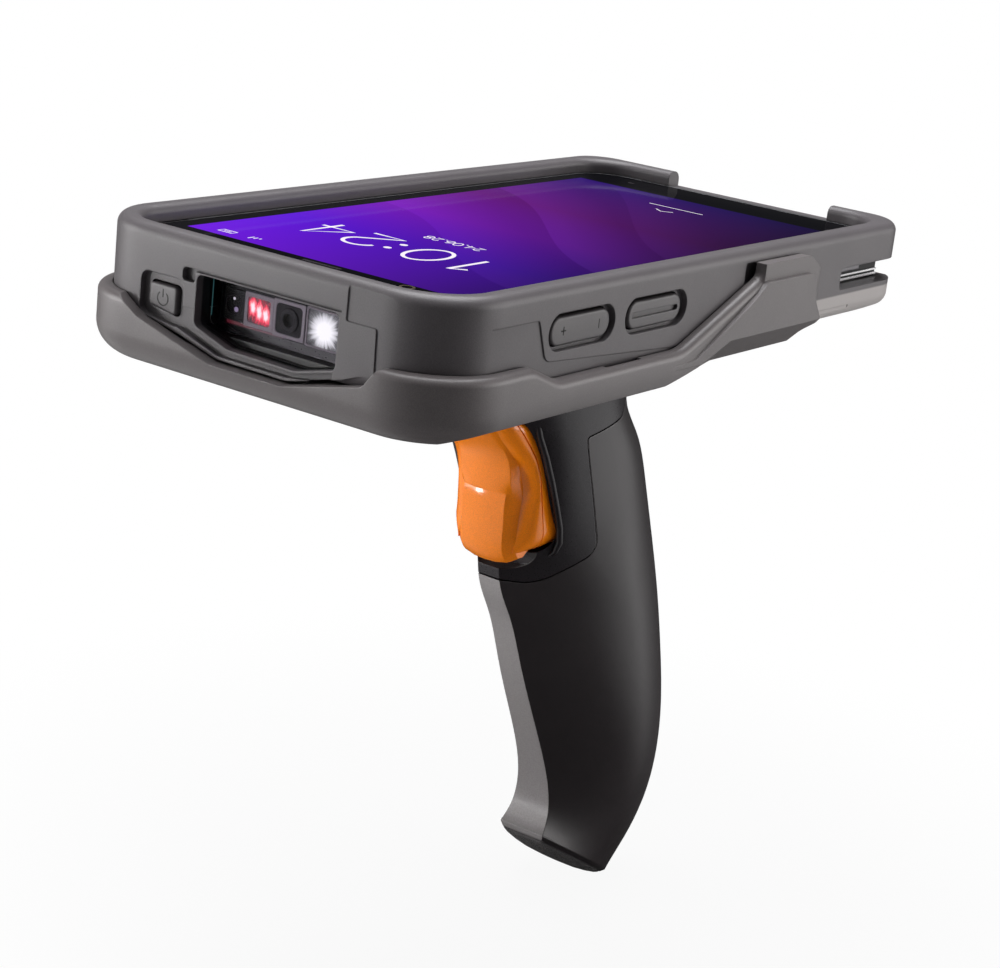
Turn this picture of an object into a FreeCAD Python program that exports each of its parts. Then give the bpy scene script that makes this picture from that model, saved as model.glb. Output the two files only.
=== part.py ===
import FreeCAD, Part
import math
import os

# A hand-held barcode data terminal: a touch-screen terminal in a rubber boot,
# clipped into a cradle tray on a pistol grip with a finger trigger.
# Millimetres. While modelling, Z = 0 is the top of the boot's rim, X = 0 is the
# symmetry plane and Y = 0 is the middle of the boot. -Y is the scan end, +Z is up.
# Every solid is moved at the end so that the origin is the middle of the hand grip.

V = FreeCAD.Vector

# Place of the row's origin, the middle of the hand grip
GRIP_MIDDLE_Y = 36.0
GRIP_MIDDLE_Z = -105.0

# Terminal
TERMINAL_WIDTH = 77.5
TERMINAL_LENGTH = 162.0
TERMINAL_DEPTH = 14.0
TERMINAL_CORNER = 10.0
GLASS_BELOW_RIM = 3.3
GLASS_THICKNESS = 0.9
GLASS_BORDER = 1.0
DISPLAY_WIDTH = 67.6
DISPLAY_LENGTH = 133.6
DISPLAY_THICKNESS = 1.6
BACK_COVER_DEPTH = 4.4
CASE_WALL = 1.8
BOARD_THICKNESS = 1.0
BOARD_SHARE = 0.284
BATTERY_SHARE = 0.5
BATTERY_WIDTH = 62.0
BATTERY_THICKNESS = 5.2

# Boot
BOOT_SIDE_WALL = 4.15
BOOT_END_WALL = 3.9
BOOT_FLOOR = 1.9
BOOT_CORNER_SCAN = 15.0
BOOT_CORNER_FAR = 9.0
BOOT_LIP = 0.6
RIM_OUTER_ROUND = 2.2
RIM_INNER_ROUND = 1.7
BOOT_FOOT_ROUND = 3.4
BOOT_FIT = 0.1

# Openings at the boot's far end
RIM_GAP_LEFT = -18.0
RIM_GAP_RIGHT = 24.5
DOCK_TOP = -7.9
DOCK_BOTTOM = -12.7
DOCK_SIDE_START = 54.5

# Raised and sunk parts of the boot's front wall, as x, z and corner radius
CHIN_DEPTH = 4.5
CHIN = (
    (-27.9, -10.0, 0),
    (-27.9, -16.4, 1.0),
    (-18.5, -18.1, 0),
    (-7.8, -20.9, 3.0),
    (8.8, -21.0, 3.0),
    (21.0, -17.9, 2.0),
    (27.9, -15.3, 0),
    (27.9, -10.0, 0),
)
LEDGE_GROOVE = (
    (-20.5, -13.0, 0),
    (-20.5, -16.2, 0),
    (-18.0, -17.2, 1.0),
    (-7.8, -20.3, 3.0),
    (8.6, -20.4, 3.0),
    (18.9, -19.0, 1.0),
    (19.4, -13.0, 0),
)
CORNER_NOTCH = (
    (-17.3, -8.3, 0.7),
    (-14.2, -8.3, 0.7),
    (-14.2, -5.75, 0),
    (-17.3, -5.75, 0.9),
)
TOP_GROOVE = (
    (-14.6, -6.2, 0),
    (19.8, -6.2, 0.2),
    (19.8, -5.75, 0.2),
    (-14.6, -5.75, 0),
)
CORNER_PANEL = (
    (20.9, 1.0, 0),
    (20.9, -7.4, 0.5),
    (27.6, -7.4, 0.5),
    (28.2, -22.0, 0),
    (60.0, -22.0, 0),
    (60.0, 1.0, 0),
)
PANEL_STEP = 0.25

# Sunk parts of the boot's side walls, as y, z and corner radius
SIDE_PANEL = (
    (-74.0, -5.7, 0),
    (-58.8, -5.7, 0.8),
    (-55.6, -13.6, 2.5),
    (-13.0, -16.4, 0),
    (60.0, -16.4, 0),
    (60.0, -22.0, 0),
    (-74.0, -22.0, 0),
)
HOOK_RECESS = (
    (12.4, -2.6, 0.5),
    (30.0, -2.6, 0.5),
    (30.0, -7.5, 0),
    (12.4, -7.5, 0),
)

# Contacts between the tray and the terminal
CONTACT_Y = -24.0
CONTACT_LENGTH = 20.0
CONTACT_WIDTH = 7.0
PIN_COUNT = 6
PIN_PITCH = 2.8

# Cradle tray
TRAY_WALL = 2.4
TRAY_FIT = 0.2
TRAY_FLOOR = 6.8
TRAY_FOOT_ROUND = 6.0
TRAY_LIP_ROUND = 1.6
TRAY_CORNER = 17.0
TRAY_REAR = 40.6
ARM_FRONT = 16.0
ARM_PAD = 0.9
PLATE_THICKNESS = 1.5
TRAY_POCKET_DEPTH = 2.6
POCKET_HALF_X = 24.0
POCKET_Y0 = -44.0
POCKET_Y1 = 27.0
PLATE_SCREWS = ((-19.0, -39.0), (19.0, -39.0), (-19.0, 22.0), (19.0, 22.0))
HANDLE_SCREWS = ((-12.5, -4.0), (12.5, -4.0), (-12.5, 17.0), (12.5, 17.0))
# Side chamfer of the tray: y, z at the side, x and z of the fold, x where it meets the bottom
BELLY_SECTIONS = (
    (-95.0, -22.4, 43.0, -24.2, 35.0),
    (-16.0, -22.4, 43.0, -24.2, 35.0),
    (-6.0, -20.0, 42.8, -23.0, 32.0),
    (4.0, -16.4, 42.3, -21.5, 28.0),
    (45.0, -16.4, 42.3, -21.5, 28.0),
)

# Keys
KEY_GAP = 0.3
KEY_HEIGHT = 5.3
SLOT_HEIGHT = 7.1
KEY_CENTRE_Z = -8.6
VOLUME_CENTRE_Y = -44.9
VOLUME_KEY_LENGTH = 18.9
VOLUME_SLOT_LENGTH = 21.4
SCAN_KEY_CENTRE_Y = -19.9
SCAN_KEY_LENGTH = 18.4
SCAN_SLOT_LENGTH = 21.8
KEY_PROUD = -0.35
SLOT_DEPTH = 1.3
KEY_TRAVEL = 0.5
KEY_SEAT = 1.3
DOME_HEIGHT = 0.22
POWER_KEY_X = -22.1
POWER_KEY_WIDTH = 6.8
POWER_KEY_Z = -12.6
POWER_KEY_HEIGHT = 4.8

# Scan window
WINDOW_LEFT = -13.8
WINDOW_RIGHT = 19.4
WINDOW_TOP = -6.5
WINDOW_THICKNESS = 1.2
PANE_SILL = 0.7
ENGINE_DEPTH = 11.0
OPTIC_Z = -11.9
LENS_X = -9.6
CAMERA_X = 3.5
# Lens, red illuminator, camera and white light: middle x, half width, half height
OPTICS = (
    (LENS_X, 2.7, 2.9),
    (-3.6, 2.7, 2.4),
    (CAMERA_X, 3.1, 2.8),
    (12.2, 4.4, 3.3),
)

# Handle cross-sections: front point y, z; rear point y, z; half width;
# half width of the front strip; 0 for blunt sides as round the trigger, 1 for wedge sides
SECTIONS = (
    (-25.0, -26.3, 31.0, -26.3, 21.0, 6.0, 0.0),
    (-20.5, -32.5, 30.0, -33.5, 18.2, 5.0, 0.0),
    (-15.5, -39.5, 31.5, -41.5, 16.6, 4.0, 0.0),
    (-9.8, -47.5, 38.6, -50.0, 16.0, 3.0, 0.0),
    (-6.0, -57.5, 44.4, -60.5, 15.9, 2.6, 0.1),
    (-3.9, -68.0, 49.6, -72.0, 15.9, 2.7, 0.5),
    (-2.3, -78.4, 53.8, -81.5, 16.0, 2.8, 1.0),
    (3.2, -88.0, 57.8, -92.5, 16.0, 2.9, 1.0),
    (9.0, -99.9, 61.8, -105.5, 16.0, 3.1, 1.0),
    (14.6, -111.2, 65.2, -118.5, 15.8, 3.3, 1.0),
    (20.0, -121.6, 66.8, -131.5, 15.2, 3.5, 1.0),
    (24.4, -132.2, 64.6, -145.0, 14.2, 4.1, 1.0),
    (25.2, -139.6, 58.6, -155.2, 13.0, 4.9, 1.0),
    (22.4, -145.2, 51.4, -163.4, 12.0, 5.9, 1.0),
)
# Side curve of a section: shares of its length, and of its half width at each of them
FRONT_DEPTHS = (0.12, 0.28, 0.42, 0.54)
BLUNT_SHARES = (0.70, 0.93, 0.99, 1.0)
WEDGE_SHARES = (0.31, 0.665, 0.90, 1.0)
REAR_DEPTHS = (0.66, 0.81, 0.94)
REAR_SHARES = (0.965, 0.815, 0.52)
SLEEVE_WALL = 2.8
SEAM_GAP = 0.35
CORE_GAP = 0.15
CORE_WALL = 2.4
CAP_THICKNESS = 2.6
CAP_RIM = 1.7
CAP_RECESS = 0.5

# Trigger
TRIGGER_PIVOT_Y = 6.0
TRIGGER_PIVOT_Z = -41.0
TRIGGER_HALF_WIDTH = 10.8
TRIGGER_GAP = 0.45
TRIGGER_TOP = -36.6
TRIGGER_BOTTOM = -71.2
TRIGGER_CORNER = 6.0
PIN_RADIUS = 1.5
PIN_CLEARANCE = 0.05
PIN_REACH = 2.4
SPRING_HALF = 3.4
SPRING_RADIUS = 2.5
SPRING_WIRE = 0.8
SPRING_TURNS = 3.0
OPENING_REAR = 16.5
# Finger pad of the trigger: z of its face points and their y in the middle
PAD_Z = (-39.6, -43.8, -47.2, -50.6, -54.5, -57.5, -59.5, -64.5, -69.4)
PAD_Y = (-19.0, -15.2, -11.6, -9.1, -8.1, -7.5, -7.7, -7.3, -6.9)
PAD_LOW_Y = -4.4
PAD_FOLD = 5
# For each station: x, z of the lower edge, set-back of the face points, set-back of the lower edge
PAD_STATIONS = (
    (0.0, -73.6, (-0.5, -0.5, -0.6, -0.7, -0.7, -0.5, -0.5, -0.6, -0.6), -0.4),
    (2.7, -73.5, (-0.3, -0.35, -0.4, -0.5, -0.5, -0.35, -0.35, -0.45, -0.45), -0.3),
    (5.4, -73.0, (0.1, 0.1, 0.1, 0.05, 0.0, 0.1, 0.1, 0.1, 0.1), 0.1),
    (6.4, -72.5, (0.5, 0.5, 0.4, 0.3, 0.3, 1.2, 1.8, 1.7, 1.2), 0.6),
    (7.4, -71.8, (1.2, 1.4, 1.7, 2.6, 3.5, 3.7, 3.6, 3.1, 2.2), 1.2),
)
FLEX_X = -6.0
FLEX_WIDTH = 4.0
FLEX_THICKNESS = 0.25

# Sizes that follow from the driving ones
term_hx = TERMINAL_WIDTH / 2
term_hy = TERMINAL_LENGTH / 2
glass_top = -GLASS_BELOW_RIM
term_bottom = glass_top - TERMINAL_DEPTH
frame_bottom = term_bottom + BACK_COVER_DEPTH
boot_hx = term_hx + BOOT_FIT + BOOT_SIDE_WALL
boot_hy = term_hy + BOOT_FIT + BOOT_END_WALL
boot_bottom = term_bottom - BOOT_FIT - BOOT_FLOOR
tray_hx = boot_hx + TRAY_FIT + TRAY_WALL
tray_front = -boot_hy - TRAY_FIT - TRAY_WALL
tray_floor_top = boot_bottom - TRAY_FIT
board_length = TERMINAL_LENGTH * BOARD_SHARE
battery_length = TERMINAL_LENGTH * BATTERY_SHARE
tray_bottom = tray_floor_top - TRAY_FLOOR


def box(x0, x1, y0, y1, z0, z1):
    return Part.makeBox(x1 - x0, y1 - y0, z1 - z0, V(x0, y0, z0))


def rod(start, direction, radius, length):
    return Part.makeCylinder(radius, length, V(*start), V(*direction))


def rounded_wire(corners, to_3d):
    """Closed wire through (a, b, radius) corners, each rounded by a tangent arc."""
    ends = []
    count = len(corners)
    for i in range(count):
        a, b, radius = corners[i]
        here = V(a, b, 0)
        before = V(corners[i - 1][0], corners[i - 1][1], 0)
        after = V(corners[(i + 1) % count][0], corners[(i + 1) % count][1], 0)
        u = (before - here).normalize()
        w = (after - here).normalize()
        if radius <= 0:
            ends.append((here, here, here))
            continue
        half = u.getAngle(w) / 2
        reach = radius / math.tan(half)
        bisector = (u + w).normalize()
        middle = here + bisector * (radius / math.sin(half) - radius)
        ends.append((here + u * reach, middle, here + w * reach))
    edges = []
    for i in range(count):
        start, middle, end = ends[i]
        following = ends[(i + 1) % count][0]
        if (end - start).Length > 1e-6:
            edges.append(Part.Arc(to_3d(start), to_3d(middle), to_3d(end)).toShape())
        if (following - end).Length > 1e-6:
            edges.append(Part.LineSegment(to_3d(end), to_3d(following)).toShape())
    return Part.Wire(edges)


def prism_x(corners, x0, x1):
    """Outline of (y, z, radius) corners, extruded from x0 to x1."""
    wire = rounded_wire(corners, lambda p: V(x0, p.x, p.y))
    return Part.Face(wire).extrude(V(x1 - x0, 0, 0))


def prism_y(corners, y0, y1):
    """Outline of (x, z, radius) corners, extruded from y0 to y1."""
    wire = rounded_wire(corners, lambda p: V(p.x, y0, p.y))
    return Part.Face(wire).extrude(V(0, y1 - y0, 0))


def prism_z(corners, z0, z1):
    """Outline of (x, y, radius) corners, extruded from z0 to z1."""
    wire = rounded_wire(corners, lambda p: V(p.x, p.y, z0))
    return Part.Face(wire).extrude(V(0, 0, z1 - z0))


def slab(half_width, y0, y1, corner0, corner1, z0, z1):
    """Upright slab with rounded corners, corner0 at the y0 end."""
    corners = [
        (-half_width, y0, corner0),
        (half_width, y0, corner0),
        (half_width, y1, corner1),
        (-half_width, y1, corner1),
    ]
    return prism_z(corners, z0, z1)


def pill_x(y, z, length, height, x0, x1):
    """Stadium outline, long in Y, extruded along X."""
    r = height / 2 - 0.02
    corners = [
        (y - length / 2, z - height / 2, r),
        (y + length / 2, z - height / 2, r),
        (y + length / 2, z + height / 2, r),
        (y - length / 2, z + height / 2, r),
    ]
    return prism_x(corners, x0, x1)


def soften(shape, radius, choose):
    """Fillet the edges that choose() picks."""
    edges = [e for e in shape.Edges if choose(e)]
    return shape.makeFillet(radius, edges)


def level_edge(z):
    """Chooser of the edges that lie flat at height z."""
    return lambda e: abs(e.BoundBox.ZMin - z) < 1e-3 and abs(e.BoundBox.ZMax - z) < 1e-3


def mirror_x(shape):
    return shape.mirror(V(0, 0, 0), V(1, 0, 0))


def both_sides(shape):
    return shape.fuse(mirror_x(shape))


def write(name, shape):
    """Move a shape to the row's origin and write it as one node."""
    placed = shape.copy()
    placed.translate(V(0, -GRIP_MIDDLE_Y, -GRIP_MIDDLE_Z))
    solids = placed.Solids
    result = solids[0] if len(solids) == 1 else Part.makeCompound(solids)
    result.exportStep("parts/" + name + ".step")
    print(name, len(solids), round(sum(s.Volume for s in solids), 1))


# Window and key outlines that several pieces share

def window_outline(grow):
    """Opening of the scan window in the XZ plane, grown outwards by grow."""
    return [
        (WINDOW_LEFT - grow, WINDOW_TOP + grow, 1.2 + grow),
        (WINDOW_LEFT - grow, -15.9 - grow * 0.6, 1.5 + grow),
        (-5.5, -18.6 - grow, 3.0),
        (10.5, -18.8 - grow, 3.0),
        (WINDOW_RIGHT + grow, -16.6 - grow * 0.8, 1.2 + grow),
        (WINDOW_RIGHT + grow, WINDOW_TOP + grow, 1.2 + grow),
    ]


def power_outline(grow):
    """Slanted-bottom outline of the power key in the XZ plane."""
    x0 = POWER_KEY_X - POWER_KEY_WIDTH / 2 - grow
    x1 = POWER_KEY_X + POWER_KEY_WIDTH / 2 + grow
    top = POWER_KEY_Z + POWER_KEY_HEIGHT / 2 + grow
    low = POWER_KEY_Z - POWER_KEY_HEIGHT / 2 - grow
    return [
        (x0, top, 0.8 + grow * 0.5),
        (x0, low + 0.6, 0.8 + grow * 0.5),
        (x1, low - 0.6, 0.8 + grow * 0.5),
        (x1, top, 0.8 + grow * 0.5),
    ]


# The boot

def make_boot():
    body = slab(boot_hx, -boot_hy, boot_hy, BOOT_CORNER_SCAN, BOOT_CORNER_FAR, boot_bottom, 0)
    body = soften(body, RIM_OUTER_ROUND, level_edge(0))
    body = soften(body, BOOT_FOOT_ROUND, level_edge(boot_bottom))
    mouth_hx = term_hx - BOOT_LIP
    mouth_hy = term_hy - BOOT_LIP
    mouth = slab(mouth_hx, -mouth_hy, mouth_hy, TERMINAL_CORNER, TERMINAL_CORNER, glass_top - 1, 1)
    chin = prism_y(CHIN, -boot_hy, -boot_hy + CHIN_DEPTH)
    body = body.fuse(chin).cut(mouth)

    def inner_rim(edge):
        bounds = edge.BoundBox
        inside = abs(bounds.XMin) < mouth_hx + 0.01 and abs(bounds.YMin) < mouth_hy + 0.01
        return level_edge(0)(edge) and inside and bounds.YMax < mouth_hy + 0.01

    body = soften(body, RIM_INNER_ROUND, inner_rim)
    pocket_hx = term_hx + BOOT_FIT
    pocket_hy = term_hy + BOOT_FIT
    pocket_corner = TERMINAL_CORNER + BOOT_FIT
    pocket = slab(pocket_hx, -pocket_hy, pocket_hy, pocket_corner, pocket_corner,
                  term_bottom - BOOT_FIT, glass_top + BOOT_FIT)
    body = body.cut(pocket)
    body = body.cut(prism_y(window_outline(0), -boot_hy - 1, -term_hy - BOOT_FIT))
    body = body.cut(prism_y(power_outline(1.9), -boot_hy - 1, -boot_hy + SLOT_DEPTH))
    body = body.cut(prism_y(power_outline(KEY_GAP), -boot_hy, -term_hy + 1))
    for outline, depth in ((CORNER_NOTCH, SLOT_DEPTH), (TOP_GROOVE, 0.6), (CORNER_PANEL, PANEL_STEP)):
        body = body.cut(prism_y(outline, -boot_hy - 1, -boot_hy + depth))
    ledge = prism_y(LEDGE_GROOVE, -boot_hy - 1, -boot_hy + SLOT_DEPTH)
    body = body.cut(ledge.cut(prism_y(window_outline(0.5), -boot_hy - 2, -boot_hy + 5)))
    body = body.cut(both_sides(prism_x(SIDE_PANEL, boot_hx - PANEL_STEP, boot_hx + 1)))
    body = body.cut(both_sides(prism_x(HOOK_RECESS, boot_hx - SLOT_DEPTH, boot_hx + 1)))
    for y, key, slot in ((VOLUME_CENTRE_Y, VOLUME_KEY_LENGTH, VOLUME_SLOT_LENGTH),
                         (SCAN_KEY_CENTRE_Y, SCAN_KEY_LENGTH, SCAN_SLOT_LENGTH)):
        sink = pill_x(y, KEY_CENTRE_Z, slot, SLOT_HEIGHT, boot_hx - SLOT_DEPTH, boot_hx + 1)
        hole = pill_x(y, KEY_CENTRE_Z, key + 2 * KEY_GAP, KEY_HEIGHT + 2 * KEY_GAP, term_hx - 1, boot_hx)
        body = body.cut(sink).cut(hole)
        if y == SCAN_KEY_CENTRE_Y:
            body = body.cut(mirror_x(sink)).cut(mirror_x(hole))
    body = body.cut(far_cutout())
    body = body.cut(box(RIM_GAP_LEFT, RIM_GAP_RIGHT, term_hy - 2, boot_hy + 1, glass_top - 0.2, 1))
    body = body.cut(contact_window(0))
    return body


def far_cutout():
    """Charging cut-out through the far end wall and round both corners."""
    corners = [
        (DOCK_SIDE_START, DOCK_BOTTOM, 1.2),
        (boot_hy + 5, DOCK_BOTTOM, 0),
        (boot_hy + 5, DOCK_TOP, 0),
        (DOCK_SIDE_START, DOCK_TOP, 1.2),
    ]
    slot = prism_x(corners, -boot_hx - 5, boot_hx + 5)
    belly = prism_x([
        (63.0, boot_bottom - 1, 0),
        (63.0, boot_bottom, 0),
        (77.6, boot_bottom + 1.2, 7.0),
        (82.8, DOCK_BOTTOM, 0),
        (boot_hy + 5, DOCK_BOTTOM, 0),
        (boot_hy + 5, boot_bottom - 1, 0),
    ], -boot_hx - 5, boot_hx + 5)
    return slot.fuse(belly)


def contact_window(shrink):
    half_x = CONTACT_LENGTH / 2 - shrink
    half_y = CONTACT_WIDTH / 2 - shrink
    return box(-half_x, half_x, CONTACT_Y - half_y, CONTACT_Y + half_y, boot_bottom - 1, term_bottom)


# The terminal inside the boot

def terminal_slab(inset, z0, z1):
    corner = TERMINAL_CORNER - inset
    return slab(term_hx - inset, -term_hy + inset, term_hy - inset, corner, corner, z0, z1)


glass_bottom = glass_top - GLASS_THICKNESS
panel_bottom = glass_bottom - DISPLAY_THICKNESS


def make_glass():
    glass = terminal_slab(GLASS_BORDER, glass_bottom, glass_top)
    return soften(glass, 0.3, level_edge(glass_top))


def make_display():
    return box(-DISPLAY_WIDTH / 2, DISPLAY_WIDTH / 2, -DISPLAY_LENGTH / 2, DISPLAY_LENGTH / 2,
               panel_bottom, glass_bottom)


def make_mid_frame():
    frame = terminal_slab(0, frame_bottom, glass_top)
    frame = frame.cut(terminal_slab(GLASS_BORDER - 0.1, glass_bottom, glass_top + 1))
    frame = frame.cut(box(-DISPLAY_WIDTH / 2 - 0.1, DISPLAY_WIDTH / 2 + 0.1, -DISPLAY_LENGTH / 2 - 0.1,
                          DISPLAY_LENGTH / 2 + 0.1, panel_bottom, glass_top))
    frame = frame.cut(terminal_slab(CASE_WALL, frame_bottom - 1, panel_bottom - 1.0))
    for y, key in ((VOLUME_CENTRE_Y, VOLUME_KEY_LENGTH), (SCAN_KEY_CENTRE_Y, SCAN_KEY_LENGTH)):
        seat = pill_x(y, KEY_CENTRE_Z, key + 2 * KEY_GAP, KEY_HEIGHT + 2 * KEY_GAP, term_hx - KEY_SEAT, term_hx + 1)
        frame = frame.cut(seat)
        if y == SCAN_KEY_CENTRE_Y:
            frame = frame.cut(mirror_x(seat))
    frame = frame.cut(prism_y(power_outline(KEY_GAP), -term_hy - 1, -term_hy + KEY_SEAT))
    frame = frame.cut(prism_y(window_outline(-0.3), -term_hy - 1, -term_hy + CASE_WALL + 1))
    usb = usb_solid(0.1, 2.0)
    return frame.cut(usb)


def make_back_cover():
    cover = terminal_slab(0, term_bottom, frame_bottom)
    cover = soften(cover, 2.0, level_edge(term_bottom))
    hollow = terminal_slab(CASE_WALL, term_bottom + CASE_WALL, frame_bottom + 1)
    cover = cover.cut(hollow)
    cover = cover.cut(prism_y(window_outline(-0.3), -term_hy - 1, -term_hy + CASE_WALL + 1))
    cover = cover.cut(prism_y(power_outline(KEY_GAP), -term_hy - 1, -term_hy + KEY_SEAT))
    return cover.cut(pads_solid(0))


def pads_solid(shrink):
    """Contact pads set in the back cover, one for each spring pin."""
    pads = []
    first = -(PIN_COUNT - 1) * PIN_PITCH / 2
    for i in range(PIN_COUNT):
        x = first + i * PIN_PITCH
        pads.append(rod((x, CONTACT_Y, term_bottom), (0, 0, 1), 1.0 - shrink, 0.4))
    return Part.makeCompound(pads)


def usb_solid(grow, reach):
    """Charging socket at the middle of the far end."""
    corners = [
        (-4.4 - grow, DOCK_BOTTOM + 1.0 - grow, 1.2),
        (4.4 + grow, DOCK_BOTTOM + 1.0 - grow, 1.2),
        (4.4 + grow, DOCK_BOTTOM + 4.0 + grow, 1.2),
        (-4.4 - grow, DOCK_BOTTOM + 4.0 + grow, 1.2),
    ]
    return prism_y(corners, term_hy - 7.5, term_hy + reach)


board_top = panel_bottom - 1.0
board_y0 = -term_hy + 16.0


def make_board():
    inset = CASE_WALL + 1.2
    board = box(-term_hx + inset, term_hx - inset, board_y0, board_y0 + board_length,
                board_top - BOARD_THICKNESS, board_top)
    shield = box(-18, 16, board_y0 + 6, board_y0 + 36, board_top - BOARD_THICKNESS - 2.2,
                 board_top - BOARD_THICKNESS)
    return board.fuse(shield)


def make_battery():
    y0 = board_y0 + board_length + 3
    z0 = term_bottom + CASE_WALL
    cell = box(-BATTERY_WIDTH / 2, BATTERY_WIDTH / 2, y0, y0 + battery_length, z0, z0 + BATTERY_THICKNESS)
    return soften(cell, 2.0, lambda e: abs(e.BoundBox.ZLength - BATTERY_THICKNESS) < 1e-3)


# Scan window and the optics behind it

pane_front = -term_hy
engine_front = pane_front + WINDOW_THICKNESS + 0.6


def make_pane():
    pane = prism_y(window_outline(-0.35), pane_front, pane_front + WINDOW_THICKNESS)
    return pane.common(terminal_slab(0, term_bottom + PANE_SILL, glass_bottom))


def make_engine():
    left = WINDOW_LEFT + 1.0
    right = WINDOW_RIGHT - 1.0
    body = box(left, right, engine_front, engine_front + ENGINE_DEPTH, OPTIC_Z - 3.6, OPTIC_Z + 4.0)
    for x, half_x, half_z in OPTICS:
        body = body.cut(optic_prism(x, half_x + 0.1, half_z + 0.1, engine_front - 1, engine_front + 2.0))
    return body


def optic_prism(x, half_x, half_z, y0, y1):
    corners = [
        (x - half_x, OPTIC_Z - half_z, 0.7),
        (x + half_x, OPTIC_Z - half_z, 0.7),
        (x + half_x, OPTIC_Z + half_z, 0.7),
        (x - half_x, OPTIC_Z + half_z, 0.7),
    ]
    return prism_y(corners, y0, y1)


def make_optic(index):
    x, half_x, half_z = OPTICS[index]
    return optic_prism(x, half_x, half_z, engine_front, engine_front + 2.0)


def make_lens():
    barrel = make_optic(0)
    return barrel.cut(rod((LENS_X, engine_front - 1, OPTIC_Z), (0, 1, 0), 1.9, 1.6))


def make_camera():
    barrel = make_optic(2)
    ring = rod((CAMERA_X, engine_front - 0.3, OPTIC_Z), (0, 1, 0), 2.2, 0.3)
    well = rod((CAMERA_X, engine_front - 1, OPTIC_Z), (0, 1, 0), 1.2, 1.6)
    return barrel.fuse(ring).cut(well)


# Keys

def make_side_key(y, length, grooved):
    outer = boot_hx + KEY_PROUD
    inner = term_hx - KEY_SEAT + KEY_TRAVEL + DOME_HEIGHT + 0.03
    key = pill_x(y, KEY_CENTRE_Z, length, KEY_HEIGHT, inner, outer)
    key = soften(key, 0.5, lambda e: abs(e.BoundBox.XMin - outer) < 1e-3 and abs(e.BoundBox.XMax - outer) < 1e-3)
    if grooved:
        groove = pill_x(y, KEY_CENTRE_Z, length - 2.4, 1.1, outer - 0.6, outer + 1)
        key = key.cut(groove)
    return key


def make_power_key():
    front = -boot_hy - KEY_PROUD
    inner = -term_hy + KEY_SEAT - KEY_TRAVEL - DOME_HEIGHT - 0.03
    key = prism_y(power_outline(0), front, inner)
    return soften(key, 0.5, lambda e: abs(e.BoundBox.YMin - front) < 1e-3 and abs(e.BoundBox.YMax - front) < 1e-3)


def make_key_domes():
    """Dome switches that the keys press, seated in the frame's side wall."""
    base = term_hx - KEY_SEAT
    domes = []
    for y in (VOLUME_CENTRE_Y - 5, VOLUME_CENTRE_Y + 5, SCAN_KEY_CENTRE_Y):
        domes.append(rod((base, y, KEY_CENTRE_Z), (1, 0, 0), 1.6, DOME_HEIGHT))
    domes.append(rod((-base, SCAN_KEY_CENTRE_Y, KEY_CENTRE_Z), (-1, 0, 0), 1.6, DOME_HEIGHT))
    domes.append(rod((POWER_KEY_X, -term_hy + KEY_SEAT, POWER_KEY_Z), (0, -1, 0), 1.6, DOME_HEIGHT))
    return Part.makeCompound(domes)


# Cradle tray

def make_tray():
    rear = TRAY_REAR
    body = slab(tray_hx, tray_front, rear, TRAY_CORNER, 1.5, tray_bottom, -2.5)
    body = soften(body, TRAY_FOOT_ROUND, level_edge(tray_bottom))
    body = body.cut(prism_x(tray_skyline(), -tray_hx - 1, tray_hx + 1))
    body = soften(body, TRAY_LIP_ROUND, tray_lip)
    body = body.fuse(both_sides(make_arm_pad()))
    pocket = slab(boot_hx + TRAY_FIT, -boot_hy - TRAY_FIT, rear + 30, BOOT_CORNER_SCAN + TRAY_FIT, 0,
                  tray_floor_top, 5)
    body = body.cut(pocket)
    body = body.cut(prism_y(tray_front_notch(), tray_front - 1, -boot_hy + 6))
    body = body.cut(both_sides(belly_chamfer()))
    body = body.cut(prism_x([
        (25.0, tray_bottom - 0.01, 0),
        (34.6, -23.4, 4.0),
        (36.6, -19.0, 2.0),
        (TRAY_REAR + 1, -17.2, 0),
        (TRAY_REAR + 1, tray_bottom - 5, 0),
        (25.0, tray_bottom - 5, 0),
    ], -tray_hx - 1, tray_hx + 1))
    body = body.cut(box(-POCKET_HALF_X, POCKET_HALF_X, POCKET_Y0, POCKET_Y1,
                        tray_floor_top - PLATE_THICKNESS - TRAY_POCKET_DEPTH, tray_floor_top + 1))
    for x, y in HANDLE_SCREWS:
        body = body.cut(rod((x, y, tray_bottom - 1), (0, 0, 1), 1.7, 10))
    for x, y in PLATE_SCREWS:
        body = body.cut(rod((x, y, tray_floor_top - 6), (0, 0, 1), 1.0, 10))
    for x, y in PLATE_SCREWS:
        post = rod((x, y, tray_floor_top - PLATE_THICKNESS - TRAY_POCKET_DEPTH), (0, 0, 1), 2.4, TRAY_POCKET_DEPTH)
        hole = rod((x, y, tray_floor_top - 6), (0, 0, 1), 1.0, 10)
        body = body.fuse(post.cut(hole))
    body = body.cut(both_sides(box(boot_hx, boot_hx + 1.1, -37.0, -25.0, -17.9, 0)))
    return body.cut(flex_slot(0.6))


def tray_lip(edge):
    """Chooser of the outer top edges of the side and front walls."""
    bounds = edge.BoundBox
    outside = min(abs(bounds.XMin), abs(bounds.XMax)) > tray_hx - 0.01
    front = bounds.YMax < tray_front + TRAY_CORNER + 0.01
    upper = bounds.ZMin > -17.0 and bounds.ZMax < -5.0 and bounds.YMax < ARM_FRONT + 0.01
    return upper and (outside or front)


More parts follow.
